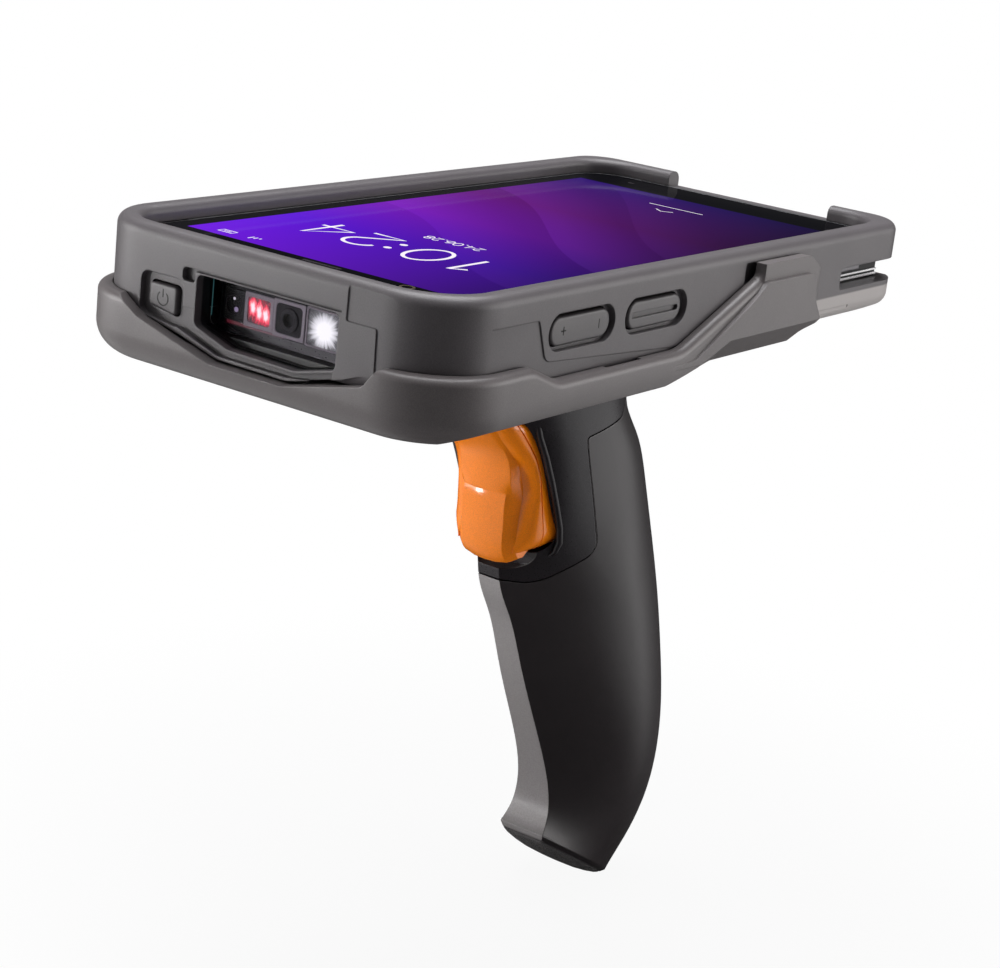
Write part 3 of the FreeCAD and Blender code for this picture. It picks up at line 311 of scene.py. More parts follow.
def picture_material():
    """Cover glass: black printed border and, inside the active area, a lit generic gradient."""
    low, high = span("display_panel")
    material, tree = new_material("cover_glass")
    axes = put(tree, "SeparateXYZ", {"Vector": put(tree, "TexCoord").outputs["Object"]})
    x = maths(tree, "MULTIPLY", axes.outputs["X"], 1 / MM)
    y = maths(tree, "ADD", maths(tree, "MULTIPLY", axes.outputs["Y"], 1 / MM), ORIGIN_Y)
    inside_x = maths(tree, "LESS_THAN", maths(tree, "ABSOLUTE", x), high.x)
    inside_y = maths(tree, "LESS_THAN", maths(tree, "ABSOLUTE", y), high.y)
    across = ranged(tree, x, high.x, low.x, *SCREEN_LEVELS)
    colour = scaled_by(tree, filled_ramp(tree, ranged(tree, y, low.y, high.y), SCREEN_STOPS), across)
    wave = maths(tree, "MULTIPLY", maths(tree, "SINE", maths(tree, "MULTIPLY", x, WAVE_RATE)), WAVE_HEIGHT)
    for place, slope, strength in SCREEN_BANDS:
        line = maths(tree, "ADD", maths(tree, "ADD", y, maths(tree, "MULTIPLY", x, slope)), wave)
        line = maths(tree, "SUBTRACT", line, place)
        band = maths(tree, "MULTIPLY", ranged(tree, line, 0.0, BAND_EDGE),
                     ranged(tree, line, *BAND_FADE, 0.0, strength))
        lighter = put(tree, "VectorMath", {0: colour, 1: BAND_GAIN, 2: BAND_LIFT}, operation="MULTIPLY_ADD")
        mixed = put(tree, "Mix", data_type="VECTOR")
        tree.links.new(band, mixed.inputs[0])
        tree.links.new(colour, mixed.inputs[4])
        tree.links.new(lighter.outputs["Vector"], mixed.inputs[5])
        colour = mixed.outputs[1]
    shader = put(tree, "BsdfPrincipled", {
        "Base Color": rgb(0.003, 0.003, 0.004), "Roughness": 0.06, "IOR": 1.035,
        "Emission Color": colour, "Emission Strength": maths(tree, "MULTIPLY", inside_x, inside_y),
    })
    close(tree, shader.outputs["BSDF"])
    return material


cover_glass = picture_material()
lit_white = glowing("lit_white", rgb(1.0, 0.93, 1.0), 0.95)


def window_material():
    """Clear pane with a faint reflection."""
    material, tree = new_material("window_pane")
    gloss = put(tree, "BsdfGlossy", {"Color": rgb(1, 1, 1), "Roughness": 0.04})
    clear = put(tree, "BsdfTransparent", {"Color": rgb(0.90, 0.89, 0.92)})
    fresnel = put(tree, "Fresnel", {"IOR": 1.12})
    close(tree, mixed_shader(tree, fresnel.outputs["Fac"], clear.outputs["BSDF"], gloss.outputs["BSDF"]))
    return material


window_pane = window_material()


LOBE_REACH = 2.6
LAMP_LEVEL = 1.15


def lamp_face(name, node, stops, lobes, streaked):
    """Lit face of an optic: lobes that fade outwards through the colours of stops.

    A lobe has its place from the node's middle and its radius in millimetres, and a factor on heights
    that makes it taller. Streaked light breaks up into rays from its middle, other light into flecks.
    """
    low, high = span(node)
    middle = (low + high) / 2
    material, tree = new_material(name)
    axes = put(tree, "SeparateXYZ", {"Vector": put(tree, "TexCoord").outputs["Object"]})
    x = maths(tree, "SUBTRACT", maths(tree, "MULTIPLY", axes.outputs["X"], 1 / MM), middle.x)
    z = maths(tree, "SUBTRACT", maths(tree, "MULTIPLY", axes.outputs["Z"], 1 / MM), middle.z - ORIGIN_Z)
    scale, uneven, core = (5.0, 0.18, 0.1) if streaked else (1.6, 0.35, 0.4)
    glow = None
    for dx, dz, radius, squash in lobes:
        px = maths(tree, "SUBTRACT", x, dx)
        pz = maths(tree, "MULTIPLY", maths(tree, "SUBTRACT", z, dz), squash)
        offset = put(tree, "CombineXYZ", {"X": px, "Y": pz}).outputs["Vector"]
        far = put(tree, "VectorMath", {0: offset}, operation="LENGTH").outputs["Value"]
        if streaked:
            offset = put(tree, "VectorMath", {0: offset}, operation="NORMALIZE").outputs["Vector"]
        breaks = put(tree, "TexNoise", {"Vector": offset, "Scale": scale, "Detail": 2.0})
        spread = ranged(tree, breaks.outputs["Fac"], 0.3, 0.7, 1 - uneven, 1 + uneven)
        far = maths(tree, "DIVIDE", far, spread)
        lobe = ranged(tree, far, radius * LOBE_REACH, radius * core, smooth=True)
        glow = lobe if glow is None else maths(tree, "MAXIMUM", glow, lobe)
    shader = put(tree, "BsdfPrincipled", {
        "Base Color": rgb(0.02, 0.02, 0.02), "Roughness": 0.2,
        "Emission Color": filled_ramp(tree, glow, stops), "Emission Strength": LAMP_LEVEL,
    })
    close(tree, shader.outputs["BSDF"])
    return material


RED_STOPS = ((0.0, (0.030, 0.000, 0.004)), (0.30, (0.35, 0.000, 0.020)), (0.62, (0.95, 0.004, 0.060)),
             (0.88, (1.0, 0.25, 0.30)), (1.0, (1.0, 0.85, 0.88)))
RED_LOBES = ((-1.55, 0.5, 0.62, 0.55), (0.0, -0.1, 0.66, 0.50), (1.55, -0.4, 0.70, 0.60))
WHITE_STOPS = ((0.0, (0.006, 0.006, 0.007)), (0.25, (0.12, 0.12, 0.125)), (0.50, (0.65, 0.65, 0.67)),
               (0.80, (1.0, 1.0, 1.0)), (1.0, (1.0, 1.0, 1.0)))
WHITE_LOBES = ((-0.5, -0.2, 1.9, 1.0),)
red_lamp = lamp_face("red_lamp", "aim_illuminator", RED_STOPS, RED_LOBES, False)
white_lamp = lamp_face("white_lamp", "flash_led", WHITE_STOPS, WHITE_LOBES, True)
shield_grey = moulded("shield_grey", rgb(0.34, 0.30, 0.32), 0.45, grain=0.3, depth=0.01)
mark_dark = moulded("mark_dark", rgb(0.018, 0.016, 0.017), 0.5, specular=0.2)
lens_ring = moulded("lens_ring", rgb(0.026, 0.022, 0.026), 0.25, depth=0.002)
lens_bronze = moulded("lens_bronze", rgb(0.120, 0.095, 0.060), 0.3, depth=0.002, metallic=0.6)
# Painted light: a teal glow along the edge of the clear pane
edge_teal = glowing("edge_teal", rgb(0.030, 0.110, 0.120), 0.6)
# Painted highlights: glowing discs that stand for reflections on the lens and the camera
glint_white = glowing("glint_white", rgb(0.75, 0.72, 0.78), 1.0)
glint_violet = glowing("glint_violet", rgb(0.28, 0.22, 0.36), 1.0)
# Painted light: a band on the engine face below the optics glows red
red_haze = glowing("red_haze", rgb(0.080, 0.001, 0.008), 1.0)

finishes = {
    "rubber_boot": boot_rubber, "cradle_tray": tray_plastic, "handle_core": neck_plastic,
    "grip_sleeve": sleeve_rubber, "base_cap": cap_plastic, "trigger": trigger_plastic,
    "display_glass": cover_glass, "display_panel": cover_glass, "mid_frame": frame_metal,
    "back_cover": housing_grey, "main_board": board_green, "battery": cell_wrap,
    "scan_window": window_pane, "scan_engine": engine_black, "imager_lens": engine_black,
    "aim_illuminator": red_lamp, "camera_module": engine_black, "flash_led": white_lamp,
    "volume_key": key_plastic, "scan_key_right": key_plastic, "scan_key_left": key_plastic,
    "power_key": key_plastic, "key_domes": steel, "contact_pads": gold, "usb_socket": steel,
    "cradle_plate": engine_black, "plate_screws": steel, "contact_block": engine_black,
    "contact_pins": gold, "trigger_board": board_green, "handle_screws": steel, "trigger_pin": steel,
    "trigger_spring": steel, "trigger_switch": engine_black, "trigger_flex": film_amber,
}
for name, node in nodes.items():
    node.data.materials.clear()
    node.data.materials.append(finishes[name])


# Smooth shading of the CAD nodes by a modifier, which leaves their meshes alone

SMOOTH_ANGLE = math.radians(24)
WELD_DISTANCE = 1e-6


def smoothing_group():
    group = bpy.data.node_groups.new("smooth_by_angle", "GeometryNodeTree")
    group.interface.new_socket("Geometry", in_out="INPUT", socket_type="NodeSocketGeometry")
    group.interface.new_socket("Geometry", in_out="OUTPUT", socket_type="NodeSocketGeometry")
    entry = group.nodes.new("NodeGroupInput")
    merge = group.nodes.new("GeometryNodeMergeByDistance")
    merge.inputs["Distance"].default_value = WELD_DISTANCE
    faces = group.nodes.new("GeometryNodeSetShadeSmooth")
    angle = group.nodes.new("GeometryNodeInputMeshEdgeAngle")
    compare = group.nodes.new("FunctionNodeCompare")
    compare.operation = "LESS_THAN"
    compare.inputs[1].default_value = SMOOTH_ANGLE
    edges = group.nodes.new("GeometryNodeSetShadeSmooth")
    edges.domain = "EDGE"
    leave = group.nodes.new("NodeGroupOutput")
    links = group.links
    links.new(entry.outputs[0], merge.inputs["Geometry"])
    links.new(merge.outputs["Geometry"], faces.inputs["Geometry"])
    links.new(faces.outputs["Geometry"], edges.inputs["Geometry"])
    links.new(angle.outputs["Unsigned Angle"], compare.inputs[0])
    links.new(compare.outputs[0], edges.inputs["Shade Smooth"])
    links.new(edges.outputs["Geometry"], leave.inputs[0])
    return group


smooth_group = smoothing_group()
for node in nodes.values():
    modifier = node.modifiers.new("smooth", "NODES")
    modifier.node_group = smooth_group


# Mesh helpers

def add_piece(name, mesh, material, body):
    """Object from a bmesh, with its material and the body that carries it."""
    data = bpy.data.meshes.new(name)
    mesh.to_mesh(data)
    mesh.free()
    data.materials.append(material)
    piece = bpy.data.objects.new(name, data)
    bpy.context.scene.collection.objects.link(piece)
    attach(piece, body)
    return piece


def stroke_mesh(name, strokes, width, thickness, place, material, body):
    """Flat ribbons along 2D polylines in millimetres; place maps (u, v, w) to the row frame."""
    mesh = bmesh.new()
    for points, closed in strokes:
        count = len(points)
        rows = []
        for i, (u, v) in enumerate(points):
            before = points[i - 1] if i > 0 or closed else points[i]
            after = points[(i + 1) % count] if i < count - 1 or closed else points[i]
            du, dv = after[0] - before[0], after[1] - before[1]
            size = math.hypot(du, dv) or 1.0
            nu, nv = -dv / size * width / 2, du / size * width / 2
            rows.append([mesh.verts.new(place(u + way * nu, v + way * nv, w))
                         for way in (-1, 1) for w in (0, thickness)])
        for i in range(count if closed else count - 1):
            a, b = rows[i], rows[(i + 1) % count]
            for p, q in ((0, 2), (2, 3), (3, 1), (1, 0)):
                mesh.faces.new((a[p], a[q], b[q], b[p]))
        if not closed:
            mesh.faces.new((rows[0][0], rows[0][1], rows[0][3], rows[0][2]))
            mesh.faces.new((rows[-1][0], rows[-1][2], rows[-1][3], rows[-1][1]))
    bmesh.ops.recalc_face_normals(mesh, faces=mesh.faces)
    add_piece(name, mesh, material, body)


def lofted(name, rows, material, body, smooth=True):
    """Closed skin through rows of as many points, with a cap at each end."""
    mesh = bmesh.new()
    rings = [[mesh.verts.new(point) for point in row] for row in rows]
    for a, b in zip(rings, rings[1:]):
        for i in range(len(a)):
            j = (i + 1) % len(a)
            mesh.faces.new((a[i], a[j], b[j], b[i]))
    mesh.faces.new(rings[0])
    mesh.faces.new(rings[-1][::-1])
    bmesh.ops.recalc_face_normals(mesh, faces=mesh.faces)
    for face in mesh.faces:
        face.smooth = smooth and len(face.verts) == 4
    piece = add_piece(name, mesh, material, body)
    modifier = piece.modifiers.new("smooth", "NODES")
    modifier.node_group = smooth_group


def ring_plate(name, outer, inner, thickness, place, material, body):
    """Flat plate between two loops of as many points."""
    mesh = bmesh.new()
    rows = [[mesh.verts.new(place(*loop[i], w)) for loop in (outer, inner) for w in (0, thickness)]
            for i in range(len(outer))]
    for a, b in zip(rows, rows[1:] + rows[:1]):
        for p, q in ((0, 1), (1, 3), (3, 2), (2, 0)):
            mesh.faces.new((a[p], a[q], b[q], b[p]))
    bmesh.ops.recalc_face_normals(mesh, faces=mesh.faces)
    add_piece(name, mesh, material, body)


def arc(cu, cv, ru, rv, start, end, steps=20):
    """Points on an ellipse's arc, angles in degrees."""
    angles = [math.radians(start + (end - start) * i / steps) for i in range(steps + 1)]
    return [(cu + ru * math.cos(angle), cv + rv * math.sin(angle)) for angle in angles]


def ring(u, v, radius, steps=12, gap=30):
    """Closed ring stroke, whose last point lies gap degrees before its first."""
    return arc(u, v, radius, radius, 0, 360 - gap, steps), True


def rounded_loop(node, grow, radius, steps=5):
    """Corner points of a rounded rectangle round a node in the XZ plane, grown by grow."""
    low, high = span(node)
    points = []
    for i, (x, z) in enumerate(((high.x, high.z), (low.x, high.z), (low.x, low.z), (high.x, low.z))):
        cx = x + (grow - radius) * (1 if x == high.x else -1)
        cz = z + (grow - radius) * (1 if z == high.z else -1)
        points += arc(cx, cz, radius, radius, 90 * i, 90 * i + 90, steps)
    return points


def smooth_value(table, where):
    """Value at a place from rows of place and value in rising order, on a smooth curve through them."""
    places = [row[0] for row in table]
    values = [row[1] for row in table]
    i = max(0, min(len(table) - 2, sum(place <= where for place in places) - 1))
    before, after = max(i - 1, 0), min(i + 2, len(table) - 1)
    slope0 = (values[i + 1] - values[before]) / (places[i + 1] - places[before])
    slope1 = (values[after] - values[i]) / (places[after] - places[i])
    width = places[i + 1] - places[i]
    t = (where - places[i]) / width
    return ((2 * t ** 3 - 3 * t ** 2 + 1) * values[i] + (t ** 3 - 2 * t ** 2 + t) * width * slope0
            + (3 * t ** 2 - 2 * t ** 3) * values[i + 1] + (t ** 3 - t ** 2) * width * slope1)


def side_name(stem, side):
    return stem + ("_right" if side > 0 else "_left")


def plane_at(y):
    """Place function for marks on a plane at y that faces the scan end."""
    return lambda u, v, w: at(u, y - w, v)


# Digits and signs on the screen

# Strokes of each digit in a cell 0.62 wide and 1 high
DIGITS = {
    "0": [(arc(0.31, 0.5, 0.31, 0.5, 0, 345, 28), True)],
    "1": [([(0.14, 0.80), (0.36, 1.0), (0.36, 0.0)], False)],
    "2": [(arc(0.31, 0.70, 0.29, 0.30, 165, -35, 14) + [(0.02, 0.0), (0.62, 0.0)], False)],
    "4": [([(0.46, 0.0), (0.46, 1.0), (0.0, 0.30), (0.62, 0.30)], False)],
    "6": [(arc(0.31, 0.31, 0.30, 0.31, 0, 345, 22), True),
          ([(0.03, 0.40), (0.14, 0.70), (0.40, 1.0)], False)],
    "8": [(arc(0.31, 0.75, 0.24, 0.25, 0, 345, 20), True),
          (arc(0.31, 0.26, 0.29, 0.26, 0, 345, 20), True)],
    ":": [ring(0.16, v, 0.035, 6, 60) for v in (0.28, 0.68)],
    ".": [ring(0.10, 0.03, 0.03, 6, 60)],
}
DIGIT_STEP = 0.80
POINT_STEP = 0.34


def text_strokes(text, u, v, height):
    """Strokes of a row of digits whose lower left corner is (u, v)."""
    strokes = []
    for character in text:
        for points, closed in DIGITS[character]:
            strokes.append(([(u + a * height, v + b * height) for a, b in points], closed))
        u += (POINT_STEP if character in ":." else DIGIT_STEP) * height
    return strokes


glass_top = span("display_glass")[1].z


def on_glass(u, v, w):
    """The display is read from the far end: u runs towards -X and v towards the scan end."""
    return at(-u, -v, glass_top + w)


BATTERY_SIGN = [([(25.2, 62.2), (28.6, 62.2), (28.6, 63.9), (25.2, 63.9)], True),
                ([(26.0, 63.05), (27.8, 63.05)], False)]
SIGNAL_BARS = [([(u, 62.1), (u, top)], False) for u, top in ((19.2, 62.8), (20.1, 63.4), (21.0, 64.0))]
SWIPE_SIGN = [([(-2.2, -50.2), (0.0, -48.6), (2.2, -50.2)], False), ([(-7.0, -55.0), (7.0, -55.0)], False)]
# Earpiece slot, and a small slot at the other end of the glass
GLASS_SLOTS = [([(-5.5, 68.6), (3.5, 68.6)], False), ([(23.6, -73.9), (25.0, -73.9)], False)]
PRINT_RISE = 0.02

for name, strokes, width, material in (
        ("clock_digits", text_strokes("10:24", -19.0, 36.0, 12.5), 0.85, lit_white),
        ("date_digits", text_strokes("24.06.28", -7.5, 27.0, 2.6), 0.28, lit_white),
        ("status_signs", BATTERY_SIGN + SIGNAL_BARS + SWIPE_SIGN, 0.30, lit_white),
        ("front_camera_ring", [ring(-20.8, 68.6, 1.25, 24, 15)], 0.5, lens_bronze),
        ("earpiece_slot", GLASS_SLOTS, 0.9, lens_ring)):
    stroke_mesh(name, strokes, width, PRINT_RISE, on_glass, material, "housing")


# Base of the grip: the flat cap gets a crown, and the sleeve a rounded rim

BASE_OUTWARD = Vector((0.0, -0.532, -0.847)).normalized()
BASE_ALONG = Vector((1.0, 0.0, 0.0)).cross(BASE_OUTWARD)
BASE_EDGE = 0.05
BASE_POINTS = 72
# Share of the base's outline, and height above the base plane
RIM_STEPS = ((0.90, -0.6), (0.996, -0.6), (0.996, 0.0), (0.990, 0.14), (0.970, 0.40), (0.935, 0.85),
             (0.905, 1.0), (0.900, 0.8))
CROWN_STEPS = ((0.925, 0.0), (0.925, 0.8), (0.90, 1.2), (0.84, 1.6), (0.70, 2.1), (0.52, 2.5), (0.30, 2.7),
               (0.12, 2.75))


def base_rings(name, steps, material):
    """Closed piece on the base of the grip, from the outline of the sleeve's lower edge."""
    points = [vertex.co.copy() for vertex in nodes["grip_sleeve"].data.vertices]
    plane = max(point.dot(BASE_OUTWARD) for point in points)
    edge = [point for point in points if point.dot(BASE_OUTWARD) > plane - BASE_EDGE * MM]
    along = [point.dot(BASE_ALONG) for point in edge]
    middle = (min(along) + max(along)) / 2
    flat = [(place - middle, point.x) for place, point in zip(along, edge)]
    outline = []
    for i in range(BASE_POINTS):
        angle = 2 * math.pi * i / BASE_POINTS
        u, v = math.cos(angle), math.sin(angle)
        outline.append(max(flat, key=lambda spot: spot[0] * u + spot[1] * v))
    outline = list(dict.fromkeys(outline))
    rows = []
    for scale, rise in steps:
        centre = BASE_ALONG * middle + BASE_OUTWARD * (plane + rise * MM)
        rows.append([centre + BASE_ALONG * (u * scale) + Vector((v * scale, 0, 0)) for u, v in outline])
    lofted(name, rows, material, "housing")


base_rings("base_rim", RIM_STEPS, sleeve_rubber)
base_rings("base_crown", CROWN_STEPS, cap_plastic)


# Trigger flanks: each runs from the ridge of the finger pad out to the edge of the flange

# Height and depth of the ridge and of the flange's front
RIDGE = ((-69.4, -5.1), (-64.5, -4.5), (-59.5, -4.3), (-57.5, -4.1), (-54.5, -4.9), (-50.6, -6.9),
         (-47.2, -10.3), (-43.8, -14.1), (-39.6, -18.1), (-37.2, -20.3))
FLANGE = ((-71.2, 1.6), (-64.0, 0.0), (-58.0, -1.7), (-53.0, -3.0), (-49.0, -5.2), (-45.0, -8.7),
          (-41.0, -12.5), (-37.2, -15.4))
RIDGE_X = 7.1
FLANK_X = 10.7
FLANK_LOW = -70.4
FLANK_HIGH = -37.4
FLANK_ROWS = 30
FLANK_STEPS = 8
# How far behind the ridge the skin turns, and how far it stands past the flange's side and front
FLANK_BOW = 0.8
FLANK_PROUD = 0.05
FLANK_LAP = 0.4
# Root of the section, inside the trigger: its X, and its depths behind the flange's front and the ridge
ROOT_X = 6.7
ROOT_FLANGE = 2.6
ROOT_RIDGE = 1.0
NARROWEST = 0.25
# Round corners of the flange
CORNER_HEIGHT = 5.2
CORNER_X = 4.8
CORNER_RADIUS = 5.95


def flank_reach(z):
    """How far out a flank reaches at a height."""
    past = max(FLANK_LOW + CORNER_HEIGHT - z, z - (FLANK_HIGH - CORNER_HEIGHT))
    if past <= 0:
        return FLANK_X
    return max(CORNER_X + math.sqrt(CORNER_RADIUS ** 2 - past ** 2), RIDGE_X + NARROWEST)


def bowed(start, bend, end, t):
    """Point on the curve from start to end that bend pulls towards itself."""
    return tuple((1 - t) ** 2 * a + 2 * t * (1 - t) * b + t * t * c for a, b, c in zip(start, bend, end))


def trigger_flank(side):
    rows = []
    for row in range(FLANK_ROWS + 1):
        z = FLANK_LOW + (FLANK_HIGH - FLANK_LOW) * row / FLANK_ROWS
        ridge, flange, out = smooth_value(RIDGE, z), smooth_value(FLANGE, z), flank_reach(z)
        start, bend = (RIDGE_X, ridge), (out, ridge + FLANK_BOW)
        end = (out + FLANK_PROUD, flange - FLANK_LAP)
        section = [bowed(start, bend, end, step / FLANK_STEPS) for step in range(FLANK_STEPS + 1)]
        section += [(ROOT_X, flange + ROOT_FLANGE), (ROOT_X, ridge + ROOT_RIDGE)]
        rows.append([at(side * x, y, z) for x, y in section])
    lofted(side_name("trigger_flank", side), rows, trigger_plastic, "trigger")


for side in (1, -1):
    trigger_flank(side)


# Rounded lips of the trigger opening, laid on the face of the neck

core_mesh = nodes["handle_core"].data
core_tree = BVHTree.FromPolygons([vertex.co.copy() for vertex in core_mesh.vertices],
                                 [tuple(face.vertices) for face in core_mesh.polygons])
# Points of a lip as X, Z and radius: round the lower corner, then straight up
LIP_CORNER = ((9.3, -72.6, 0.25), (10.7, -71.2, 0.6), (11.7, -68.6, 0.8))
LIP = LIP_CORNER + tuple((12.1, z, 0.8) for z in (-65.0, -60.0, -54.0, -48.0, -43.0, -38.0))
LIP_INWARD = 0.45
LIP_SUNK = 0.5
LIP_SIDES = 14
PROBE_Y = -60


def neck_depth(x, z):
    """Y of the neck's front face, found from well in front of it."""
    hit = core_tree.ray_cast(at(x, PROBE_Y, z), Vector((0, 1, 0)))[0]
    return hit.y / MM + ORIGIN_Y


def opening_lip(side):
    depths = [neck_depth(side * (x - LIP_INWARD), z) + LIP_SUNK for x, z, radius in LIP]
    for smoothing in range(3):
        depths = [(depths[max(i - 1, 0)] + 2 * depth + depths[min(i + 1, len(depths) - 1)]) / 4
                  for i, depth in enumerate(depths)]
    rows = []
    for i, (x, z, radius) in enumerate(LIP):
        before, after = LIP[max(i - 1, 0)], LIP[min(i + 1, len(LIP) - 1)]
        tangent = Vector((after[0] - before[0], 0, after[1] - before[1])).normalized()
        angles = [2 * math.pi * k / LIP_SIDES for k in range(LIP_SIDES)]
        circle = [(radius * math.cos(angle), radius * math.sin(angle)) for angle in angles]
        rows.append([at(side * (x + tangent.z * a), depths[i] - b, z - tangent.x * a) for a, b in circle])
    lofted(side_name("opening_lip", side), rows, neck_plastic, "housing")


for side in (1, -1):
    opening_lip(side)


# Charging rails that show through the side slots

case_high = span("mid_frame")[1]
# Name, first and last Y, lowest and highest Z, how far it stands out, material
RAILS = (("rail_back", 55.2, 79.5, -12.6, -8.2, 0.10, engine_black),
         ("rail_block", 61.0, 70.5, -10.3, -8.4, 0.35, rail_grey),
         ("rail_upper", 55.8, 80.0, -11.3, -10.9, 0.45, steel),
         ("rail_lower", 55.8, 80.0, -12.3, -11.8, 0.45, steel))
RAIL_SUNK = 0.3
RAIL_END = 2.0

for side in (1, -1):
    for name, y0, y1, z0, z1, proud, material in RAILS:
        inner, outer = case_high.x - RAIL_SUNK, case_high.x + proud
        corners = ((inner, z0), (outer, z0), (outer, z1), (inner, z1))
        rows = [[at(side * x, y, z) for x, z in corners] for y in (y0, min(y1, case_high.y - RAIL_END))]
        lofted(side_name(name, side), rows, material, "housing", smooth=False)


# Black sheet with little gloss on the sill of the scan window: painted shade that keeps the sill dark

# X and Z along the sill, and the dark sheet's section as Y and lift
SILL = ((-13.4, -15.9), (-12.6, -16.25), (-5.6, -18.45), (10.4, -18.7), (19.0, -16.6))
SHADE_SHEET = ((-82.2, 0.02), (-78.4, 0.02), (-78.4, 0.12), (-82.2, 0.12))
lofted("window_liner", [[at(x, y, z + lift) for y, lift in SHADE_SHEET] for x, z in SILL], engine_black, "housing",
       smooth=False)


# Marks on the keys

MARK_RISE = 0.015
key_low, key_high = span("volume_key")
key_y, key_z = (key_low.y + key_high.y) / 2, (key_low.z + key_high.z) / 2


def on_volume_key(u, v, w):
    return at(key_high.x + w, key_y + u, key_z + v)


PLUS_AND_BAR = [([(-6.3, 0.0), (-4.7, 0.0)], False), ([(-5.5, -0.8), (-5.5, 0.8)], False),
                ([(5.9, -0.9), (5.9, 0.9)], False)]
stroke_mesh("volume_signs", PLUS_AND_BAR, 0.28, MARK_RISE, on_volume_key, mark_dark, "volume_key")

power_low, power_high = span("power_key")
power_x, power_z = (power_low.x + power_high.x) / 2, (power_low.z + power_high.z) / 2
POWER_SIGN = [(arc(power_x, power_z, 1.3, 1.3, 128, 412, 26), False),
              ([(power_x, power_z + 0.25), (power_x, power_z + 1.75)], False)]
stroke_mesh("power_sign", POWER_SIGN, 0.26, MARK_RISE, plane_at(power_low.y), mark_dark, "power_key")


# Scan window: plates round the optics, rings of the camera, painted glints on the lens and camera, a painted
# red glow along the foot of the engine face and a painted glow along the pane's edge

engine_low = span("scan_engine")[0]
camera_low, camera_high = span("camera_module")
lens_low, lens_high = span("imager_lens")
pane_low, pane_high = span("scan_window")
camera_x, optic_z = (camera_low.x + camera_high.x) / 2, (camera_low.z + camera_high.z) / 2
lens_x = (lens_low.x + lens_high.x) / 2
haze_z = engine_low.z + 0.35
pane_x = pane_low.x + 0.12

on_engine = plane_at(engine_low.y - 0.02)
on_camera = plane_at(camera_low.y - 0.01)
in_camera = plane_at(camera_low.y + 1.2)
in_lens = plane_at(lens_low.y + 0.5)

# Name, node, border and inner corner radius
for name, node, border, radius in (("illuminator_plate", "aim_illuminator", 0.75, 0.5),
                                   ("camera_plate", "camera_module", 0.62, 0.8),
                                   ("led_plate", "flash_led", 0.30, 0.4)):
    outer, inner = rounded_loop(node, border, 0.3), rounded_loop(node, -0.05, radius)
    ring_plate(name, outer, inner, 0.1, on_engine, shield_grey, "housing")

for name, strokes, width, thickness, place, material in (
        ("camera_rings", [ring(camera_x, optic_z, r, 44, 8) for r in (2.0, 1.5)], 0.16, 0.05, on_camera,
         lens_ring),
        ("camera_glint", [ring(camera_x + 0.2, optic_z + 0.2, 0.22)], 0.4, 0.05, in_camera, glint_violet),
        ("lens_glint", [ring(lens_x - 0.5, optic_z + 1.0, 0.15)], 0.25, 0.05, in_lens, glint_white),
        ("lens_coating", [ring(lens_x + 0.1, optic_z - 0.9, 0.25)], 0.45, 0.05, in_lens, glint_violet),
        ("lens_rim", [ring(lens_x, optic_z, 1.95, 44, 8)], 0.18, 0.05, on_engine, lens_ring),
        ("red_haze_band", [([(lens_x - 1.5, haze_z), (camera_x - 1.0, haze_z)], False)], 0.6, 0.02, on_engine,
         red_haze),
        ("pane_edge", [([(pane_x, pane_low.z + 2.2), (pane_x, pane_high.z - 0.6)], False)], 0.2, 0.02,
         plane_at(pane_low.y), edge_teal)):
    stroke_mesh(name, strokes, width, thickness, place, material, "housing")


# Camera, matched to the photograph

LENS = 82.44
SENSOR_WIDTH = 36.0
CLIP_START = 0.01
CAMERA_PLACE = (0.259231, -0.419842, 0.186946)
CAMERA_RIGHT = (0.803596, 0.585268, 0.108145)
CAMERA_UP = (-0.254886, 0.174218, 0.951147)
CAMERA_BACK = (0.537835, -0.791903, 0.289177)

camera_data = bpy.data.cameras.new("camera")
camera_data.lens = LENS
camera_data.sensor_width = SENSOR_WIDTH
camera_data.clip_start = CLIP_START
camera = bpy.data.objects.new("camera", camera_data)
turn = Matrix((CAMERA_RIGHT, CAMERA_UP, CAMERA_BACK)).transposed().to_4x4()
camera.matrix_world = Matrix.Translation(CAMERA_PLACE) @ turn
bpy.context.scene.collection.objects.link(camera)
bpy.context.scene.camera = camera


# Light: three soft boxes, and a narrow lamp that lifts the trigger and the front of the grip

def add_lamp(name, data, place, target):
    lamp = bpy.data.objects.new(name, data)
    lamp.location = place
    lamp.rotation_euler = (Vector(target) - Vector(place)).to_track_quat("-Z", "Y").to_euler()
    bpy.context.scene.collection.objects.link(lamp)


def soft_box(name, place, target, width, height, power, colour):
    data = bpy.data.lights.new(name, "AREA")
    data.shape = "RECTANGLE"
    data.size = width
    data.size_y = height
    data.energy = power
    data.color = colour
    add_lamp(name, data, place, target)


soft_box("left_box", (-0.82, -0.56, 0.04), (0, 0, 0.03), 0.5, 0.9, 9.0, (1.0, 0.98, 0.98))
soft_box("right_box", (0.78, 0.60, 0.12), (0, 0, 0.05), 0.8, 0.8, 6.5, (1.0, 0.97, 0.96))
soft_box("top_box", (-0.1, 0.1, 0.95), (0, 0, 0.1), 0.8, 0.8, 15.0, (0.98, 0.98, 1.0))

grip_spot = bpy.data.lights.new("grip_spot", "SPOT")
grip_spot.energy = 37.0
grip_spot.spot_size = math.radians(11.5)
grip_spot.spot_blend = 0.6
grip_spot.shadow_soft_size = 0.14
add_lamp("grip_spot", grip_spot, (-0.50, -0.66, -0.02), (0, -0.02, 0.008))

